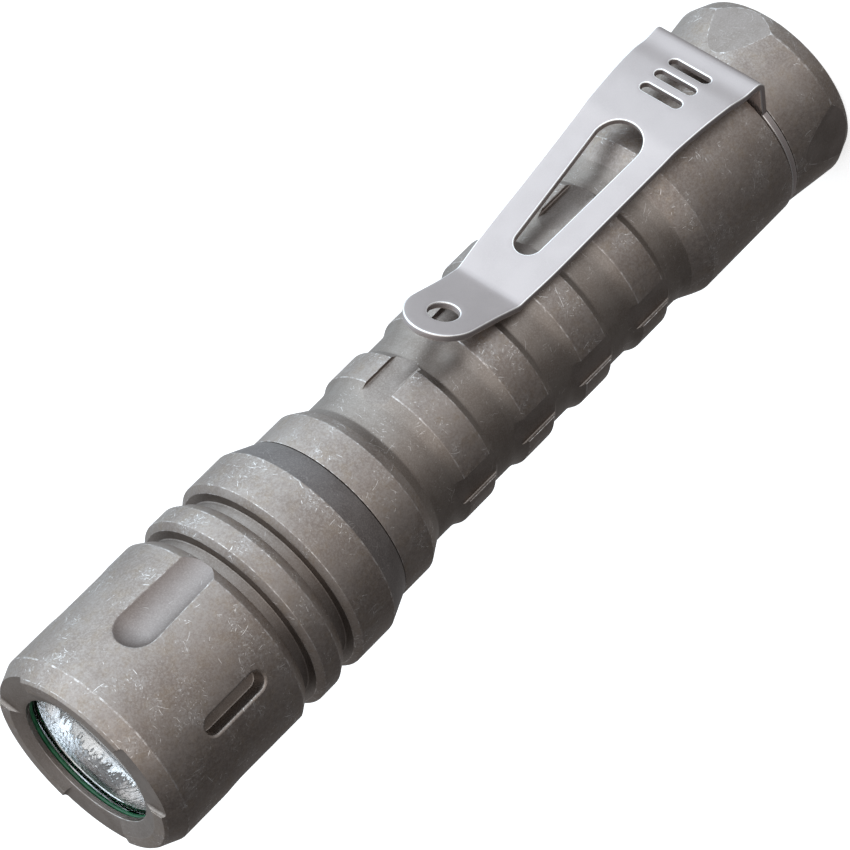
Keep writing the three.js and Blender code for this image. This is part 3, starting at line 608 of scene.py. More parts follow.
def tube(name, centres, radius, materials, sides=12):
    """A round wire through the given centres, with domed ends."""
    bm = bmesh.new()
    centres = [Vector(centre) for centre in centres]
    rings = []
    up = Vector((0, 0, 1))
    for i, centre in enumerate(centres):
        along = (centres[min(i + 1, len(centres) - 1)] - centres[max(i - 1, 0)]).normalized()
        side = along.cross(up if abs(along.z) < 0.9 else Vector((0, 1, 0))).normalized()
        other = side.cross(along)
        rings.append([
            bm.verts.new(centre + radius * (side * math.cos(a) + other * math.sin(a)))
            for a in (2 * math.pi * k / sides for k in range(sides))
        ])
    for low, high in zip(rings, rings[1:]):
        bridge(bm, low, high)
    for ring, inner, outer in ((rings[0], centres[1], centres[0]), (rings[-1], centres[-2], centres[-1])):
        tip = bm.verts.new(outer + (outer - inner).normalized() * radius * 0.5)
        for k in range(sides):
            bm.faces.new((ring[k], ring[(k + 1) % sides], tip))
    bmesh.ops.recalc_face_normals(bm, faces=bm.faces)
    return new_object(name, bm, materials)


# ---- cutters for the titanium pieces

LIP_TURN = math.radians(78)  # how far a rounded lip turns before it meets the barrel
LIP_STEPS = 4
FOOT_RADIUS = 0.12  # of the fillet round a pocket's floor
CUTTER_REACH = 0.7  # how far a cutter stands out of the barrel


def cutter(name, bm, azimuth):
    """A closed cutter, turned about the barrel to its azimuth."""
    bmesh.ops.recalc_face_normals(bm, faces=bm.faces)
    made = new_object(name, bm, titanium())
    made.data.transform(Matrix.Rotation(math.radians(azimuth), 4, "Z"))
    return made


def stadium(half_length, half_width, steps=10):
    """A slot outline with round ends as (along, across), its length along Z."""
    straight = half_length - half_width
    half_round = [math.pi * k / steps for k in range(steps + 1)]
    return [
        (end * (straight + half_width * math.sin(angle)), end * half_width * math.cos(angle))
        for end in (1, -1) for angle in half_round
    ]


def rectangle(half_length, half_width, corner):
    """A rectangle with rounded corners as (along, across)."""
    points = []
    for quarter, (sx, sy) in enumerate(((1, 1), (-1, 1), (-1, -1), (1, -1))):
        for k in range(FILLET_STEPS + 1):
            angle = math.pi / 2 * (quarter + k / FILLET_STEPS)
            points.append((
                sx * (half_length - corner) + corner * math.cos(angle),
                sy * (half_width - corner) + corner * math.sin(angle),
            ))
    return points


def lofted_cutter(name, azimuth, middle, rings):
    """A cutter pushed in along the radius. Each ring is (outline, distance, follows, finish).

    A ring that follows the barrel bends with a cylinder of its distance's radius.
    """
    bm = bmesh.new()
    made = []
    for outline, distance, follows, finish in rings:
        loop = []
        for along, across in outline:
            out = math.sqrt(distance**2 - across**2) if follows else distance
            loop.append(bm.verts.new((out, across, middle + along)))
        if made:
            bridge(bm, made[-1], loop, finish)
        made.append(loop)
    bm.faces.new(made[0]).material_index = RECESS
    bm.faces.new(made[-1])
    return cutter(name, bm, azimuth)


def lipped_rings(shape, floor, surface, lip, edge, lead=0.0):
    """Rings of a pocket with a filleted floor and a rounded lip where it meets the barrel."""
    rings = [
        (shape(FOOT_RADIUS * (math.sin(t) - 1)), floor + FOOT_RADIUS * (1 - math.cos(t)), False, RECESS)
        for t in (math.pi / 2 * k / 3 for k in range(4))
    ]
    for k in range(LIP_STEPS + 1):
        angle = LIP_TURN * k / LIP_STEPS
        grown = lip * (1 - math.cos(angle)) + lead * k / LIP_STEPS
        rings.append((shape(grown), surface - lip + lip * math.sin(angle), True, edge if k else RECESS))
    rings.append((rings[-1][0], surface + CUTTER_REACH, True, edge))
    return rings


SLOT_LOW, SLOT_HIGH = 68.8, 74.9
SLOT_HALF_WIDTH = 0.8
SLOT_FLOOR = 7.6
SLOT_LIP = 0.2


def slot_cutter(azimuth):
    half_length = (SLOT_HIGH - SLOT_LOW) / 2

    def shape(grown):
        return stadium(half_length + grown, SLOT_HALF_WIDTH + grown)

    rings = lipped_rings(shape, SLOT_FLOOR, HEAD_RADIUS, SLOT_LIP, lead=0.06, edge=RAISED)
    return lofted_cutter("slot_cutter", azimuth, (SLOT_LOW + SLOT_HIGH) / 2, rings)


RIDGE_WALL = 0.68
RIDGE_LENGTH = 2.85
RIDGE_RUNOUT = 1.35
POCKET_HALF_WIDTH = 1.3


def pocket_cutter(azimuth, start):
    low = start - 2 * RIDGE_WALL
    high = start + RIDGE_LENGTH + RIDGE_RUNOUT

    def shape(grown):
        return rectangle((high - low) / 2 + grown, POCKET_HALF_WIDTH + grown, 0.12)

    rings = lipped_rings(shape, VALLEY_RADIUS, RIDGE_RADIUS, 0.07, edge=WORN)
    return lofted_cutter("pocket_cutter", azimuth, (low + high) / 2, rings)


SCOOP_RADIUS = 3.0
SCOOP_DEEP = (11.23, 72.95)
SCOOP_SHALLOW = (11.41, 66.0)
SCOOP_LIP = 0.05


def scoop_cutter(azimuth):
    """The path of a ball cutter, met by the barrel in a rounded lip."""
    across = np.linspace(-1.9, 1.9, 77)
    along = np.linspace(64.7, 75.0, 150)
    y, z = np.meshgrid(across, along, indexing="ij")
    angle = y / HEAD_RADIUS
    (deep_x, deep_z), (far_x, far_z) = SCOOP_DEEP, SCOOP_SHALLOW
    run_x, run_z = far_x - deep_x, far_z - deep_z

    def walls(radius):
        """Signed distances outside the barrel and inside the ball's path."""
        x, side = radius * np.cos(angle), radius * np.sin(angle)
        share = ((x - deep_x) * run_x + (z - deep_z) * run_z) / (run_x**2 + run_z**2)
        share = np.clip(share, 0, 1)
        gap_x, gap_z = x - deep_x - share * run_x, z - deep_z - share * run_z
        return radius - HEAD_RADIUS, SCOOP_RADIUS - np.sqrt(gap_x**2 + gap_z**2 + side**2)

    def outside(radius):
        a, b = walls(radius)
        lip = SCOOP_LIP
        corner = np.hypot(np.maximum(a + lip, 0), np.maximum(b + lip, 0))
        return np.minimum(-lip, np.maximum(a, b)) + corner

    low, high = np.full_like(y, 7.0), np.full_like(y, HEAD_RADIUS + 0.02)
    for _ in range(26):
        middle = (low + high) / 2
        out = outside(middle) > 0
        low, high = np.where(out, low, middle), np.where(out, middle, high)
    floor = (low + high) / 2
    a, b = walls(floor)
    worn = (a > -SCOOP_LIP) & (b > -SCOOP_LIP)
    clear = floor > HEAD_RADIUS - 0.0015
    floor = np.where(clear, HEAD_RADIUS + 0.03, floor)

    bm = bmesh.new()
    sheets = []
    for radius in (floor, HEAD_RADIUS + 0.8):
        places = np.stack((radius * np.cos(angle), radius * np.sin(angle), z), axis=-1)
        sheets.append([[bm.verts.new(place) for place in row] for row in places])
    inner, outer = sheets
    for i in range(len(across) - 1):
        for k in range(len(along) - 1):
            cell = (inner[i][k], inner[i][k + 1], inner[i + 1][k + 1], inner[i + 1][k])
            bm.faces.new(cell).material_index = WORN if worn[i, k] else SMOOTH
            bm.faces.new((outer[i][k], outer[i + 1][k], outer[i + 1][k + 1], outer[i][k + 1]))
    for row, lid in zip((inner[0], inner[-1]), (outer[0], outer[-1])):
        for k in range(len(along) - 1):
            bm.faces.new((row[k], lid[k], lid[k + 1], row[k + 1]))
    for k in (0, -1):
        for i in range(len(across) - 1):
            bm.faces.new((inner[i][k], inner[i + 1][k], outer[i + 1][k], outer[i][k]))
    return cutter("scoop_cutter", bm, azimuth)


NOTCH_HALF_ANGLE = math.radians(48.5 / 2)
NOTCH_FLOOR = 80.6
NOTCH_COVE = 0.3
NOTCH_LIP = 0.07
NOTCH_RADIUS = 8.2  # where its span is measured


def notch_cutter(azimuth):
    """A shallow scallop in the rim whose floor climbs out in a small cove at each end."""
    half = NOTCH_HALF_ANGLE * NOTCH_RADIUS
    flat = half - NOTCH_COVE
    side = [
        (flat + NOTCH_COVE * math.sin(t), NOTCH_FLOOR + NOTCH_COVE * (1 - math.cos(t)), RECESS)
        for t in (math.pi / 2 * k / 5 for k in range(6))
    ]
    side += [
        (half + NOTCH_LIP * (1 - math.cos(t)), TOTAL_LENGTH - NOTCH_LIP * (1 - math.sin(t)), RAISED)
        for t in (LIP_TURN * k / LIP_STEPS for k in range(1, LIP_STEPS + 1))
    ]
    side.append((half + NOTCH_LIP, TOTAL_LENGTH + 1, RAISED))
    outline = [(-x, z, finish) for x, z, finish in reversed(side)]
    outline += [(flat * (k / 6 - 1), NOTCH_FLOOR, RECESS) for k in range(1, 12)]
    outline += side
    bm = bmesh.new()
    turned = [(math.cos(x / NOTCH_RADIUS), math.sin(x / NOTCH_RADIUS), z) for x, z, _ in outline]
    inner, outer = (
        [bm.verts.new((radius * x, radius * y, z)) for x, y, z in turned] for radius in (5.0, HEAD_RADIUS + 0.8)
    )
    for k in range(len(outline) - 1):
        index = min(outline[k][2], outline[k + 1][2])
        bm.faces.new((inner[k], inner[k + 1], outer[k + 1], outer[k])).material_index = index
    bm.faces.new((inner[0], outer[0], outer[-1], inner[-1]))
    bm.faces.new(inner)
    bm.faces.new(outer)
    return cutter("notch_cutter", bm, azimuth)


CAP_FLAT_DISTANCE = 7.95


def wear_flat_edges(thing):
    """Rounds the creases round each flat, and shows them as worn."""
    bm = bmesh.new()
    bm.from_mesh(thing.data)
    edges = [
        edge for edge in bm.edges
        if len(edge.link_faces) == 2 and sum(face.material_index == FLAT for face in edge.link_faces) == 1
    ]
    bmesh.ops.bevel(
        bm, geom=edges, offset=0.04 * MM, segments=2, profile=0.5, affect="EDGES", material=WORN,
        clamp_overlap=False,
    )
    bm.to_mesh(thing.data)
    bm.free()
    mark_creases(thing)


def flat_cutter(azimuth):
    """The half space beyond one flat of the tail cap."""
    bm = bmesh.new()
    bmesh.ops.create_cube(bm, size=1)
    bmesh.ops.scale(bm, vec=(2, 12, CAP_LENGTH + 1), verts=bm.verts)
    bmesh.ops.translate(bm, vec=(CAP_FLAT_DISTANCE + 1, 0, (CAP_LENGTH - 1) / 2), verts=bm.verts)
    for face in bm.faces:
        face.material_index = FLAT
    return cutter("flat_cutter", bm, azimuth)


# ---- head

EDGE = 0.085
SOFT_EDGE = 0.14
GROOVE_RADIUS = 7.7
FIN_EDGE = 8.48
LIP_BACK = 80.07
FRONT_OPENING = 5.95
FACE_INNER, FACE_OUTER = 7.2, 8.18  # radii of the rim's flat face
CONE_FRONT = 56.32
GROOVES = ((60.31, 61.55), (64.53, 65.75))  # where each cooling groove's floor starts and ends


def head_finish(radius, height, worn):
    at_rim = height > LIP_BACK - 0.07
    if worn and height > HEAD_REAR + 0.1 and radius > FRONT_OPENING - 0.05:
        return RAISED if FACE_INNER - 0.2 < radius < FACE_OUTER + 0.02 and at_rim else WORN
    # The cone behind the head takes SHADE, whose darker colour is painted shade.
    if height < CONE_FRONT - 0.02 and radius > NECK_RADIUS + 0.3:
        return SHADE
    between_fins = radius < FIN_EDGE - 0.05 and height < GROOVES[-1][1] + 0.25
    in_groove = radius < GROOVE_RADIUS + 0.02 or between_fins
    in_dish = at_rim and radius < FACE_INNER + 0.05
    return RECESS if (in_groove and not at_rim) or in_dish else RAISED


def head_shell():
    fins = []
    for rear, front in GROOVES:
        fins += [
            (HEAD_RADIUS, rear - 0.44, EDGE),
            (FIN_EDGE, rear, EDGE),
            (GROOVE_RADIUS, rear + 0.045, 0.18),
            (GROOVE_RADIUS, front - 0.05, 0.18),
            (FIN_EDGE, front, EDGE),
            (HEAD_RADIUS, front + 0.845, SOFT_EDGE),
        ]
    outline = [
        (THREAD_BORE, HEAD_REAR, 0.05),
        (BODY_RADIUS, HEAD_REAR, 0.08),
        (HEAD_RADIUS, CONE_FRONT, SOFT_EDGE),
        *fins,
        (HEAD_RADIUS, 79.19, SOFT_EDGE),
        (8.36, TOTAL_LENGTH - 0.23, 0.07),
        (FACE_OUTER, TOTAL_LENGTH, 0.07),
        (FACE_INNER, TOTAL_LENGTH, EDGE),
        (FRONT_OPENING, TOTAL_LENGTH - 0.48, 0.07),
        (FRONT_OPENING, LIP_BACK),
        (6.7, LIP_BACK),
        (6.7, TUBE_FRONT + 0.05),
        (THREAD_BORE, TUBE_FRONT + 0.05),
    ]
    shell = lathe("head_shell_fine", outline, titanium(), head_finish, SHELL_SEGMENTS, row=1.0)
    shapes = ((scoop_cutter, SCOOP_AZIMUTHS), (slot_cutter, SLOT_AZIMUTHS), (notch_cutter, SLOT_AZIMUTHS))
    cut(shell, [shape(azimuth) for shape, azimuths in shapes for azimuth in azimuths])
    return finished(shell, "head", "stonewashed_metal", "head_shell")


# ---- body tube

GRIP_REAR, GRIP_FRONT = 17.9, 50.4
HEAD_SEAL_HEIGHT = 54.8
TAIL_SEAL_HEIGHT = 8.1


def tube_finish(radius, height, worn):
    if worn and radius > VALLEY_RADIUS and not 17.3 < height < 20:
        return WORN
    on_band = height < GRIP_REAR or height > GRIP_FRONT
    on_ridge = radius > RIDGE_RADIUS - 0.05
    if radius < VALLEY_RADIUS - 0.05 or height > TUBE_SHOULDER + 0.01:
        return RECESS
    return RAISED if on_band or on_ridge else VALLEY


def ridge(start):
    """One grip ridge: steep behind, running out in a cove in front."""
    end = start + RIDGE_LENGTH
    rise = RIDGE_RADIUS - VALLEY_RADIUS
    steps = [k / 7 for k in range(1, 8)]
    cove = [(VALLEY_RADIUS + rise * (1 - t) ** 2, end + RIDGE_RUNOUT * t) for t in steps]
    return [
        (VALLEY_RADIUS, start - RIDGE_WALL, 0.25),
        (RIDGE_RADIUS, start, 0.12),
        (RIDGE_RADIUS, end, 0.12),
        *cove,
    ]


SEAL_GROOVE_RADIUS = 6.0
SEAL_GROOVE_WIDTH = 1.0


def seal_groove(middle):
    """The groove of an O-ring in a neck."""
    low, high = middle - SEAL_GROOVE_WIDTH / 2, middle + SEAL_GROOVE_WIDTH / 2
    return [
        (NECK_RADIUS, low, 0.05),
        (SEAL_GROOVE_RADIUS, low, 0.1),
        (SEAL_GROOVE_RADIUS, high, 0.1),
        (NECK_RADIUS, high, 0.05),
    ]


def body_tube():
    outline = [
        (THREAD_BORE, TUBE_REAR, 0.05),
        (7.55, TUBE_REAR, 0.03),
        (7.7, TUBE_REAR + 0.19, 0.03),
        (BODY_RADIUS, TUBE_REAR + 0.19, 0.05),
        (BODY_RADIUS, 17.0, 0.10),
        (7.72, 17.6, 0.25),
        (7.1, 19.0, 0.35),
        (VALLEY_RADIUS, 19.8, 0.35),
        *[point for start in RIDGE_STARTS for point in ridge(start)],
        (VALLEY_RADIUS, 48.78, 0.25),
        (BODY_RADIUS, 50.58, SOFT_EDGE),
        (BODY_RADIUS, TUBE_SHOULDER, 0.10),
        (NECK_RADIUS, TUBE_SHOULDER, 0.05),
        *seal_groove(HEAD_SEAL_HEIGHT),
        (NECK_RADIUS, 55.6, 0.05),
        (THREAD_ROOT, 55.9, 0.05),
        (THREAD_ROOT, TUBE_FRONT - 0.2, 0.1),
        (THREAD_ROOT - 0.2, TUBE_FRONT, 0.1),
        (CELL_BORE, TUBE_FRONT, 0.1),
        (CELL_BORE, 12.55),
        (THREAD_BORE, 12.55),
    ]
    made = lathe("body_tube_fine", outline, titanium(), tube_finish, SHELL_SEGMENTS, row=1.0)
    cut(made, [pocket_cutter(azimuth, start) for start in RIDGE_STARTS for azimuth in POCKET_AZIMUTHS])
    return finished(made, "tube", "stonewashed_metal", "body_tube")


def thread(name, body, low, high):
    """A male thread: one helical crest on a neck turned to the thread's root."""
    steps_per_turn = 72
    fade = 14  # steps over which the crest rises at each end
    foot = THREAD_ROOT - 0.05
    half_root, half_crest = 0.30, 0.09
    section = ((foot, -half_root), (NECK_RADIUS, -half_crest), (NECK_RADIUS, half_crest), (foot, half_root))
    count = round((high - low) / THREAD_PITCH * steps_per_turn)
    bm = bmesh.new()
    rings = []
    for i in range(count + 1):
        angle = 2 * math.pi * i / steps_per_turn
        ease = min(1.0, i / fade, (count - i) / fade)
        middle = low + (high - low) * i / count
        reaches = [(foot + (radius - foot) * ease, middle + height) for radius, height in section]
        rings.append([bm.verts.new((r * math.cos(angle), r * math.sin(angle), z)) for r, z in reaches])
    for a, b in zip(rings, rings[1:]):
        bridge(bm, a, b)
    bm.faces.new(rings[0])
    bm.faces.new(rings[-1])
    bmesh.ops.recalc_face_normals(bm, faces=bm.faces)
    made = new_object(name, bm, [RECESS_PAINTED_SHADE])
    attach(made, body)
    return made


# ---- tail cap

def cap_finish(radius, height, worn):
    if worn and radius > 4.5 and height < 6.5:
        return WORN
    on_side = radius > VALLEY_RADIUS and height < CAP_LENGTH + 0.02
    return RAISED if on_side or height < 0.05 else RECESS


def tail_cap():
    outline = [
        (4.7, 0, 0.10),
        (7.84, 0, 0.20),
        (8.42, 1.55, 0.20),
        (7.83, CAP_LENGTH, 0.10),
        (NECK_RADIUS, CAP_LENGTH, 0.05),
        *seal_groove(TAIL_SEAL_HEIGHT),
        (NECK_RADIUS, 8.9, 0.05),
        (THREAD_ROOT, 9.15, 0.05),
        (THREAD_ROOT, 12.0, 0.1),
        (THREAD_ROOT - 0.2, 12.2, 0.1),
        (5.4, 12.2, 0.1),
        (5.4, 1.6),
        (4.4, 1.6),
        (4.4, 0.3, 0.05),
    ]
    made = lathe("tail_cap_fine", outline, titanium(), cap_finish, SHELL_SEGMENTS, row=1.0)
    cut(made, [flat_cutter(azimuth) for azimuth in POCKET_AZIMUTHS])
    wear_flat_edges(made)
    return finished(made, "tail", "stonewashed_metal", "tail_cap")


# ---- clip

RISER_REACH = 9.53
BEND_OUTER = 0.9
BEND_START = 7.31 - BEND_OUTER * math.pi / 2  # plan length at which the flat plate starts to bend
PLATE_SHIFT = RISER_REACH - BEND_OUTER - BEND_START  # from plan length to distance from the axis
ARM_OUTER_FACE = (
    (9.53, 7.31), (9.53, 8.2), (10.0, 10.5), (10.18, 13.3), (10.12, 16.1), (9.85, 17.8), (8.98, 24.4),
    (8.06, 31.9), (7.925, 33.0), (7.88, 33.36), (7.868, 33.52), (7.90, 33.68), (8.02, 34.0), (8.62, 35.5),
    (10.05, 38.9), (11.15, 41.6),
)
ROOT_HALF_WIDTH = 5.18
TONGUE_RADIUS = 3.0
EYE_HEIGHT = 38.5
ARM_HALF_WIDTHS = (
    (ROOT_HALF_WIDTH, 6.0), (4.96, 10.15), (4.47, 16.1), (3.9, 24.0), (3.52, 30.0), (3.14, 33.8),
    (TONGUE_RADIUS, 36.5), (TONGUE_RADIUS, EYE_HEIGHT),
)
RING_INNER, RING_OUTER = 7.1, 7.8
EYE_RADIUS = 1.2
WINDOW = (16.1, 29.9, 2.07, 1.2)  # lower end, upper end, and the radius at each
PIERCED_HEIGHT = 10.9
PIERCED_PITCH = 1.75
PIERCED_LENGTH = 3.9
PIERCED_WIDTH = 0.9
RIM_RADIUS = 0.11


def smooth_curve(points):
    """A function of height through the (value, height) points, with no overshoot."""
    values, heights = zip(*points)
    steps = [b - a for a, b in zip(heights, heights[1:])]
    slopes = [(b - a) / h for a, b, h in zip(values, values[1:], steps)]
    tangents = [slopes[0]]
    for left, right in zip(slopes, slopes[1:]):
        tangents.append(0.0 if left * right <= 0 else 2 * left * right / (left + right))
    tangents.append(slopes[-1])

    def at(height):
        i = max(0, min(len(steps) - 1, sum(height >= h for h in heights) - 1))
        t = (height - heights[i]) / steps[i]
        t2, t3 = t * t, t * t * t
        return (
            (2 * t3 - 3 * t2 + 1) * values[i] + (t3 - 2 * t2 + t) * steps[i] * tangents[i]
            + (3 * t2 - 2 * t3) * values[i + 1] + (t3 - t2) * steps[i] * tangents[i + 1]
        )

    return at


arm_reach = smooth_curve(ARM_OUTER_FACE)
arm_half_width = smooth_curve(ARM_HALF_WIDTHS)


def bent(across, length, depth):
    """Where a point of the flat clip plan ends up, `depth` below its outer face."""
    if length <= BEND_START:
        return (across, -(length + PLATE_SHIFT), CLIP_RING_BOTTOM + depth)
    bend_end = BEND_START + BEND_OUTER * math.pi / 2
    if length <= bend_end:
        angle = (length - BEND_START) / BEND_OUTER
        reach = RISER_REACH - BEND_OUTER + (BEND_OUTER - depth) * math.sin(angle)
        return (across, -reach, CLIP_RING_BOTTOM + BEND_OUTER - (BEND_OUTER - depth) * math.cos(angle))
    slope = (arm_reach(length + 0.05) - arm_reach(length - 0.05)) / 0.1
    scale = math.hypot(1, slope)
    return (across, -(arm_reach(length) - depth / scale), length + depth * slope / scale)


def spaced(start, end, step):
    count = max(1, round(abs(end - start) / step))
    return [start + (end - start) * k / count for k in range(count)]


def arc(radius, middle, start, end, step):
    """Points of an arc about (0, middle), anticlockwise as (across, length)."""
    return [(radius * math.cos(a), middle + radius * math.sin(a)) for a in spaced(start, end, step)]


def clip_outline():
    """The outer edge of the flat plan, anticlockwise."""
    middle = -PLATE_SHIFT
    meet = math.asin(ROOT_HALF_WIDTH / RING_OUTER)
    lengths = spaced(middle + RING_OUTER * math.cos(meet), EYE_HEIGHT, 0.25)
    right = [(arm_half_width(max(length, ARM_HALF_WIDTHS[0][1])), length) for length in lengths]
    tongue = arc(TONGUE_RADIUS, EYE_HEIGHT, 0, math.pi, 0.07)
    left = [(-across, length) for across, length in reversed(right)]
    ring = [
        (RING_OUTER * math.sin(a), middle + RING_OUTER * math.cos(a))
        for a in spaced(-meet, -2 * math.pi + meet, 0.035)
    ]
    return right + tongue + left + ring[1:]


def window_outline():
    """The tapered window: two arcs joined by straight sides."""
    low, high, low_radius, high_radius = WINDOW
    bottom, top = low + low_radius, high - high_radius
    lean = math.asin((low_radius - high_radius) / (top - bottom))
    upper = arc(high_radius, top, lean, math.pi - lean, 0.1)
    lower = arc(low_radius, bottom, math.pi - lean, 2 * math.pi + lean, 0.1)
    loop = []
    for here, following in ((upper, lower), (lower, upper)):
        loop += here
        (x1, y1), (x2, y2) = here[-1], following[0]
        count = round(math.dist(here[-1], following[0]) / 0.3)
        loop += [(x1 + (x2 - x1) * k / count, y1 + (y2 - y1) * k / count) for k in range(1, count)]
    return loop


def pierced_outline(row):
    """One of the three short slots across the root of the arm."""
    points = stadium(PIERCED_LENGTH / 2, PIERCED_WIDTH / 2, steps=12)
    return [(along, PIERCED_HEIGHT + row * PIERCED_PITCH - across) for along, across in points]


def inset(loop, distance):
    """The loop moved sideways by `distance`, to the left of its direction."""
    moved = []
    for i, (x, y) in enumerate(loop):
        (x0, y0), (x1, y1) = loop[i - 1], loop[(i + 1) % len(loop)]
        along = Vector((x1 - x0, y1 - y0)).normalized()
        moved.append((x - along.y * distance, y + along.x * distance))
    return moved


def signed_area(loop):
    return sum(x * y2 - x2 * y for (x, y), (x2, y2) in zip(loop, loop[1:] + loop[:1])) / 2


def inside(point, loop):
    """Whether a ray from the point crosses the loop an odd number of times."""
    x, y = point
    crossed = False
    for (x1, y1), (x2, y2) in zip(loop, loop[1:] + loop[:1]):
        if (y1 > y) != (y2 > y) and x < (x2 - x1) * (y - y1) / (y2 - y1) + x1:
            crossed = not crossed
    return crossed


def sheet_plan(loops):
    """Triangles of the flat between the loops, with inner points for the bends."""
    edge_points = [point for loop in loops for point in loop]
    near = kdtree.KDTree(len(edge_points))
    for i, (x, y) in enumerate(edge_points):
        near.insert((x, y, 0), i)
    near.balance()
    outer, *holes = loops
    lengths = [y for _, y in outer]
    inner_points = []
    for row, y in enumerate(np.arange(min(lengths), max(lengths), 0.33)):
        for x in np.arange(-8, 8, 0.5):
            point = (x + 0.25 * (row % 2), float(y))
            if near.find((*point, 0))[2] < 0.22 or not inside(point, outer):
                continue
            if not any(inside(point, hole) for hole in holes):
                inner_points.append(point)
    edges, start = [], 0
    for loop in loops:
        count = len(loop)
        edges += [(start + k, start + (k + 1) % count) for k in range(count)]
        start += count
    points = [Vector(point) for point in edge_points + inner_points]
    placed, _, faces, *_ = geometry.delaunay_2d_cdt(points, edges, [], 0, 1e-6)
    kept = []
    for face in faces:
        middle = sum((placed[i] for i in face), Vector((0, 0))) / len(face)
        if inside(middle, outer) and not any(inside(middle, hole) for hole in holes):
            kept.append(face)
    return placed, kept


def clip_sheet():
    """The whole clip as one bent sheet with polished round edges, whose pale colour is partly a painted highlight.
    """
    around = 2 * math.pi
    bore = arc(RING_INNER, -PLATE_SHIFT, 0, around, 0.04)
    eye = arc(EYE_RADIUS, EYE_HEIGHT, 0, around, 0.13)
    holes = [bore, window_outline(), eye, *[pierced_outline(row) for row in (-1, 0, 1)]]
    loops = [clip_outline()] + [loop[::-1] if signed_area(loop) > 0 else loop for loop in holes]
    quarter = [math.pi / 8 * k for k in range(4)]
    rim = [(RIM_RADIUS * (1 - math.cos(a)), RIM_RADIUS * (1 - math.sin(a))) for a in quarter]
    placed, faces = sheet_plan([inset(loop, RIM_RADIUS) for loop in loops])
    bm = bmesh.new()
    top = [bm.verts.new(bent(x, y, 0)) for x, y in placed]
    back = [bm.verts.new(bent(x, y, CLIP_THICKNESS)) for x, y in placed]
    for face in faces:
        bm.faces.new([top[i] for i in face])
        bm.faces.new([back[i] for i in reversed(face)])
    start = 0
    for loop in loops:
        count = len(loop)
        rings = [top[start:start + count]]
        for offset, depth in rim[::-1] + [(offset, CLIP_THICKNESS - depth) for offset, depth in rim]:
            rings.append([bm.verts.new(bent(x, y, depth)) for x, y in inset(loop, offset)])
        rings.append(back[start:start + count])
        wall = len(rings) // 2 - 1
        for k, (low, high) in enumerate(zip(rings, rings[1:])):
            bridge(bm, low, high, 0 if k == wall else 1)
        start += count
    bmesh.ops.recalc_face_normals(bm, faces=bm.faces)
    bm.normal_update()
    # The ring's upright wall takes the pale rim finish as well, as a painted highlight line.
    for face in bm.faces:
        if max(vert.co.z for vert in face.verts) < TUBE_REAR * MM and abs(face.normal.z) < 0.9:
            face.material_index = 1
    made = new_object("pocket_clip", bm, [FINISHES["clip_steel"], CLIP_RIM_WITH_HIGHLIGHT])
    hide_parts("clip_ring", "clip_arm")
    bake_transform(made)
    return made


# ---- turned inner pieces

LENS_FRONT = 79.55
LENS_BACK = LENS_FRONT - 1.5
REFLECTOR_RIM = LENS_BACK - 0.05


def bowl_outline():
    """The reflector: a paraboloid bowl with its focus at the emitter."""
    rim, vertex, mouth, throat = REFLECTOR_RIM, 66.5, 6.05, 1.95
    per_height = mouth**2 / (rim - vertex)
    depth = rim - vertex - throat**2 / per_height
    heights = [rim - depth * k / 28 for k in range(29)]
    bowl = [(math.sqrt(per_height * (height - vertex)), height) for height in heights]
    return [(throat, 66.95), (3.4, 66.95, 0.1), (6.55, rim - 1.1, 0.1), (6.55, rim, 0.05), *bowl]


def seal_outline(middle, section, height, rise=None):
    """An O-ring's section: round, or pressed flat where its half height `rise` is given."""
    turns = [math.pi / 12 * k for k in range(24)]
    return [(middle + section * math.cos(a), height + (rise or section) * math.sin(a)) for a in turns]


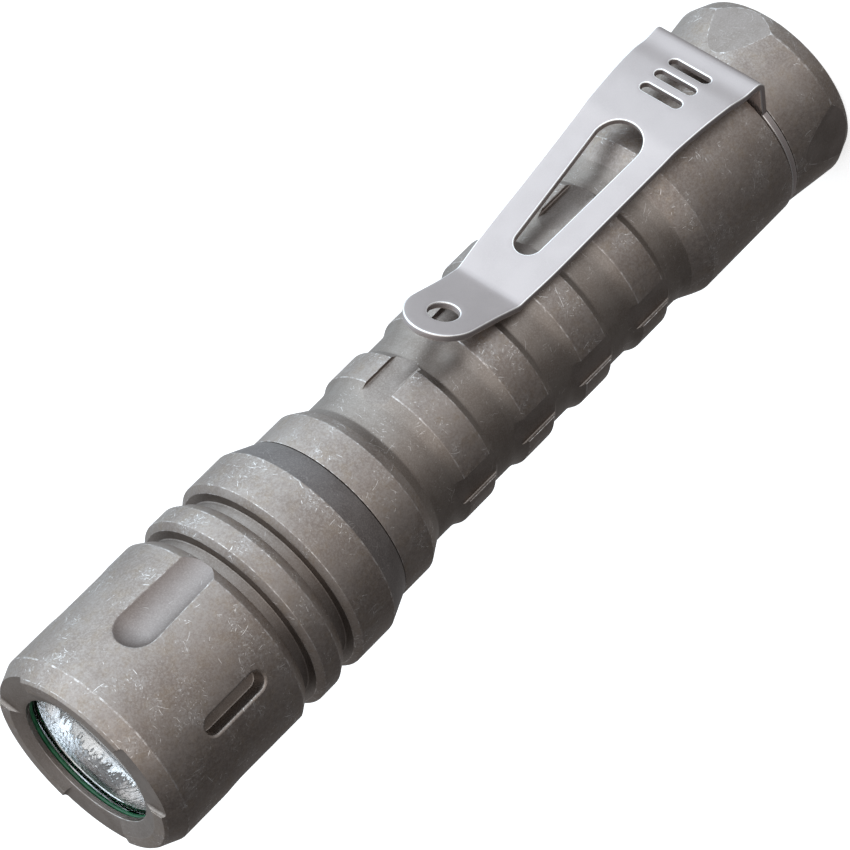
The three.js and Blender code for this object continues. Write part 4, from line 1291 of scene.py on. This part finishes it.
DRIVER_TOP = 60.2
TURNED = {
    "lens": ("head", "lens_glass", [
        (0, LENS_BACK), (6.55, LENS_BACK, 0.2), (6.55, LENS_FRONT, 0.2), (0, LENS_FRONT)]),
    "reflector": ("head", "reflector_mirror", bowl_outline()),
    "lens_o_ring": ("head", "glow_green", seal_outline(6.3, 0.35, (LENS_FRONT + LIP_BACK) / 2, rise=0.24)),
    "head_o_ring": ("head_seal", "black_rubber", seal_outline(6.45, 0.42, HEAD_SEAL_HEIGHT)),
    "tail_o_ring": ("tail_seal", "black_rubber", seal_outline(6.45, 0.42, TAIL_SEAL_HEIGHT)),
    "driver_inductor": ("head", "black_plastic", [
        (0, DRIVER_TOP + 0.05), (1.7, DRIVER_TOP + 0.05, 0.1), (1.7, DRIVER_TOP + 0.5, 0.15),
        (1.35, DRIVER_TOP + 0.6, 0.1), (1.35, DRIVER_TOP + 1.7, 0.1), (1.7, DRIVER_TOP + 1.8, 0.15),
        (1.7, DRIVER_TOP + 2.25, 0.1), (0, DRIVER_TOP + 2.25)]),
    "driver_contact": ("head", "brass", [
        (0, 58.65), (1.4, 58.65, 0.12), (1.6, 58.85, 0.12), (1.6, 59.35, 0.05), (0, 59.35)]),
    "cell_can": ("tube", "cell_steel", [
        (0, 14.05), (4.7, 14.05, 0.2), (5.05, 14.35, 0.2), (5.05, 57.1, 0.2), (4.75, 57.4, 0.2),
        (0, 57.4)]),
    "cell_jacket": ("tube", "cell_jacket", [
        (5.1, 14.4), (5.25, 14.4, 0.08), (5.25, 57.05, 0.08), (5.1, 57.05)]),
    "cell_insulator": ("tube", "white_plastic", [
        (2.4, 57.45), (4.6, 57.45, 0.05), (4.6, 57.6, 0.05), (2.4, 57.6, 0.05)]),
    "cell_positive_cap": ("tube", "cell_steel", [
        (0, 57.45), (1.9, 57.45), (1.9, 58.35, 0.2), (1.7, 58.55, 0.2), (0, 58.55)]),
    "switch_spacer": ("tail", "white_plastic", [
        (3.6, 2.7, 0.1), (5.3, 2.7, 0.1), (5.3, 8.9, 0.1), (4.95, 8.9, 0.05), (4.95, 3.4, 0.1),
        (3.6, 3.4, 0.1)]),
    "switch_plunger": ("button", "white_plastic", [
        (0, 1.45), (1.2, 1.45, 0.15), (1.4, 1.65, 0.15), (1.4, 4.75, 0.1), (1.75, 4.75, 0.1),
        (1.75, 5.3, 0.1), (0, 5.3)]),
    "switch_board": ("tail", "green_board", [(0, 8.95), (5.3, 8.95, 0.06), (5.3, 9.8, 0.06), (0, 9.8)]),
    "driver_board": ("head", "green_board", [(0, 59.4), (5.65, 59.4, 0.06), (5.65, 60.2, 0.06), (0, 60.2)]),
}
OFF_AXIS = {"driver_inductor": (1.7, -1.9)}


def turned_pieces():
    for node, (body, slot, outline) in TURNED.items():
        made = lathe(node + "_fine", outline, [FINISHES[slot]], at=OFF_AXIS.get(node, (0, 0)))
        finished(made, body, slot, node)


def switch_boot():
    """The rubber button, with three raised rings for the thumb."""
    face = [(0, 0.42)]
    for radius in (0.9, 1.7, 2.5):
        rise = ((-0.2, 0.42), (-0.1, 0.31), (0.1, 0.31), (0.2, 0.42))
        face += [(radius + step, height, 0.1) for step, height in rise]
    outline = [
        *face,
        (3.55, 0.42, 0.15), (3.75, 0.3, 0.15), (4.2, 0.35, 0.35), (4.2, 1.65, 0.1), (5.25, 1.65, 0.1),
        (5.25, 2.65, 0.1), (3.3, 2.65, 0.1), (3.3, 1.35, 0.3), (0, 1.35),
    ]
    made = lathe("switch_boot_fine", outline, [FINISHES["black_rubber"]])
    finished(made, "tail", "black_rubber", "switch_boot")
    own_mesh(made)


def coil(bottom, top, low_radius, high_radius, turns):
    """Centres of a coil whose end turns lie closed."""
    count = round(turns * 40)
    points = []
    for i in range(count + 1):
        t = i / count
        eased = t - math.sin(4 * math.pi * t) * 0.02
        radius = low_radius + (high_radius - low_radius) * t
        angle = 2 * math.pi * turns * t
        points.append((radius * math.cos(angle), radius * math.sin(angle), bottom + (top - bottom) * eased))
    return points


def springs():
    gold = [FINISHES["gold_spring"]]
    switch = tube("switch_spring_fine", coil(5.55, 8.0, 1.25, 1.25, 4), 0.15, gold)
    finished(switch, "tail", "gold_spring", "switch_spring")
    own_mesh(switch)
    battery = tube("battery_spring_fine", coil(10.2, 13.65, 2.6, 1.6, 4), 0.3, gold, sides=16)
    finished(battery, "tail", "gold_spring", "battery_spring")


def leads():
    """Insulated leads from the driver up through the pill to the emitter board."""
    for side, slot in ((1, "red_wire"), (-1, "black_wire")):
        centres = [(side * 4.3, 0, 60.25 + 5.65 * k / 10) for k in range(11)]
        for k in range(1, 9):
            angle = math.pi / 2 * k / 8
            centres.append((side * (4.3 - 0.75 * (1 - math.cos(angle))), 0, 65.9 + 0.72 * math.sin(angle)))
        node = "led_wire_positive" if side > 0 else "led_wire_negative"
        finished(tube(node + "_fine", centres, 0.35, [FINISHES[slot]], sides=16), "head", slot, node)


CARRIED_OVER = {
    "centering_gasket": "white_plastic", "driver_capacitor": "white_plastic", "led_emitter": "emitter",
    "led_board": "white_board", "pill": "brass", "switch_retaining_ring": "brass",
    "driver_chip": "black_plastic", "switch_housing": "black_plastic",
}


def carried_over():
    """Gives the CAD pieces that stay as they are their finish."""
    for node, slot in CARRIED_OVER.items():
        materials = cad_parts[node].data.materials
        materials.clear()
        materials.append(FINISHES[slot])


head_shell()
body_tube()
thread("head_neck_thread", "tube", 56.1, 58.7)
tail_cap()
thread("tail_neck_thread", "tail", 9.35, 11.8)
clip_sheet()
turned_pieces()
switch_boot()
springs()
leads()
carried_over()

# ---- studio

CAMERA_AZIMUTH = math.radians(-30)
CAMERA_ELEVATION = math.radians(23.6)
CAMERA_ROLL = math.radians(44.88)
CAMERA_DISTANCE = 375.0
CAMERA_FOCAL = 208.6
CAMERA_HEIGHT_ON_AXIS = 42.38
CAMERA_SIDE_STEP = 0.084

facing = Vector((math.sin(CAMERA_AZIMUTH), -math.cos(CAMERA_AZIMUTH), 0))
upright = Vector((0, 0, 1))
sideways = facing.cross(upright)


def photographer():
    """A camera that looks down on the standing light and is rolled over on its side."""
    rise = upright * math.cos(CAMERA_ELEVATION) - facing * math.sin(CAMERA_ELEVATION)
    back = facing * math.cos(CAMERA_ELEVATION) + upright * math.sin(CAMERA_ELEVATION)
    right = sideways * math.sin(CAMERA_ROLL) - rise * math.cos(CAMERA_ROLL)
    up = -sideways * math.cos(CAMERA_ROLL) - rise * math.sin(CAMERA_ROLL)
    target = upright * CAMERA_HEIGHT_ON_AXIS + sideways * CAMERA_SIDE_STEP
    data = bpy.data.cameras.new("camera")
    data.lens = CAMERA_FOCAL
    data.sensor_width = 36
    data.clip_start = 0.01
    made = bpy.data.objects.new("camera", data)
    turn = Matrix((right, up, back)).transposed().to_4x4()
    made.matrix_world = Matrix.Translation((target + back * CAMERA_DISTANCE) * MM) @ turn
    bpy.context.scene.collection.objects.link(made)
    bpy.context.scene.camera = made


def floor():
    """A plain pale floor that mirrors don't see."""
    bm = bmesh.new()
    bmesh.ops.create_grid(bm, x_segments=1, y_segments=1, size=3000)
    g = Graph("floor")
    tone = g.mix(g.ramp(g.noise(0.01), 0.3, 0.7), (0.90, 0.90, 0.90, 1), (0.92, 0.92, 0.92, 1))
    g.set(base_color=tone, roughness=0.9)
    g.shader.inputs["Emission Color"].default_value = (1, 1, 1, 1)
    g.shader.inputs["Emission Strength"].default_value = 0.6
    made = new_object("floor", bm, [g.material])
    made.visible_glossy = False


LIGHT_SIZE = 1.0  # metres
LIGHT_POWER = 1.2  # watts


def soft_light(name, direction, distance, colour):
    """A round soft light, `distance` metres from the middle of the barrel."""
    data = bpy.data.lights.new(name, "AREA")
    data.shape = "DISK"
    data.size = LIGHT_SIZE
    data.energy = LIGHT_POWER
    data.color = colour
    made = bpy.data.objects.new(name, data)
    way = direction.normalized()
    target = Vector((0, 0, TOTAL_LENGTH / 2 * MM))
    made.location = target + way * distance
    made.rotation_euler = way.to_track_quat("Z", "Y").to_euler()
    bpy.context.scene.collection.objects.link(made)


# The room's light by how far to the key side a ray goes, from -1 to 1, in red, green and blue.
ACROSS = (
    (-1.0, (0.08, 0.08, 0.085)),
    (-0.60, (0.31, 0.305, 0.31)),
    (-0.30, (0.73, 0.72, 0.72)),
    (0.0, (1.05, 1.05, 1.06)),
    (0.45, (1.40, 1.53, 1.66)),
    (1.0, (2.00, 2.36, 2.66)),
)
SKY_PEAK = 2.66
# What is left of it by how far to the front end, and how far to the camera, a ray goes.
ALONG = ((-1.0, 0.42), (-0.75, 0.68), (-0.45, 1.0), (0.3, 1.0), (1.0, 0.66))
NEARER = ((-1.0, 0.30), (-0.35, 0.80), (0.1, 1.0), (1.0, 1.0))


def shades_by_direction(tree, direction, stops):
    """Colours of the stops by how far a ray goes in a direction."""
    way = tree.nodes.new("ShaderNodeTexCoord")
    share = tree.nodes.new("ShaderNodeVectorMath")
    share.operation = "DOT_PRODUCT"
    share.inputs[1].default_value = direction.normalized()
    spread = tree.nodes.new("ShaderNodeMapRange")
    spread.inputs["From Min"].default_value = -1
    shades = tree.nodes.new("ShaderNodeValToRGB")
    shades.color_ramp.interpolation = "B_SPLINE"
    for i, (reach, colour) in enumerate(stops):
        place = (reach + 1) / 2
        stop = shades.color_ramp.elements[i] if i < 2 else shades.color_ramp.elements.new(place)
        stop.position = place
        stop.color = (*colour, 1)
    tree.links.new(way.outputs["Generated"], share.inputs[0])
    tree.links.new(share.outputs["Value"], spread.inputs["Value"])
    tree.links.new(spread.outputs["Result"], shades.inputs["Fac"])
    return shades.outputs["Color"]


def surroundings():
    """A pale room, bright and cool on the key side, dim on the other and past both ends."""
    world = bpy.data.worlds.new("studio")
    bpy.context.scene.world = world
    world.use_nodes = True
    tree = world.node_tree
    tree.nodes.clear()
    output = tree.nodes.new("ShaderNodeOutputWorld")
    sky = tree.nodes.new("ShaderNodeBackground")
    light = shades_by_direction(tree, -sideways, [
        (reach, [channel / SKY_PEAK for channel in colour]) for reach, colour in ACROSS
    ])
    for direction, falloff in ((upright, ALONG), (facing, NEARER)):
        product = tree.nodes.new("ShaderNodeMix")
        product.data_type = "RGBA"
        product.blend_type = "MULTIPLY"
        product.inputs["Factor"].default_value = 1.0
        left = shades_by_direction(tree, direction, [(reach, [value] * 3) for reach, value in falloff])
        tree.links.new(light, product.inputs[6])
        tree.links.new(left, product.inputs[7])
        light = product.outputs[2]
    tree.links.new(light, sky.inputs["Color"])
    sky.inputs["Strength"].default_value = SKY_PEAK
    tree.links.new(sky.outputs["Background"], output.inputs["Surface"])


photographer()
floor()
surroundings()
soft_light("key", -sideways * 0.75 + facing * 0.35 + upright * 0.3, 0.8, (0.93, 0.965, 1.0))
soft_light("fill", facing * 0.8 + sideways * 0.25 + upright * 0.5, 0.9, (1.0, 0.97, 0.94))

scene = bpy.context.scene
scene.view_settings.view_transform = "Standard"
scene.view_settings.look = "None"
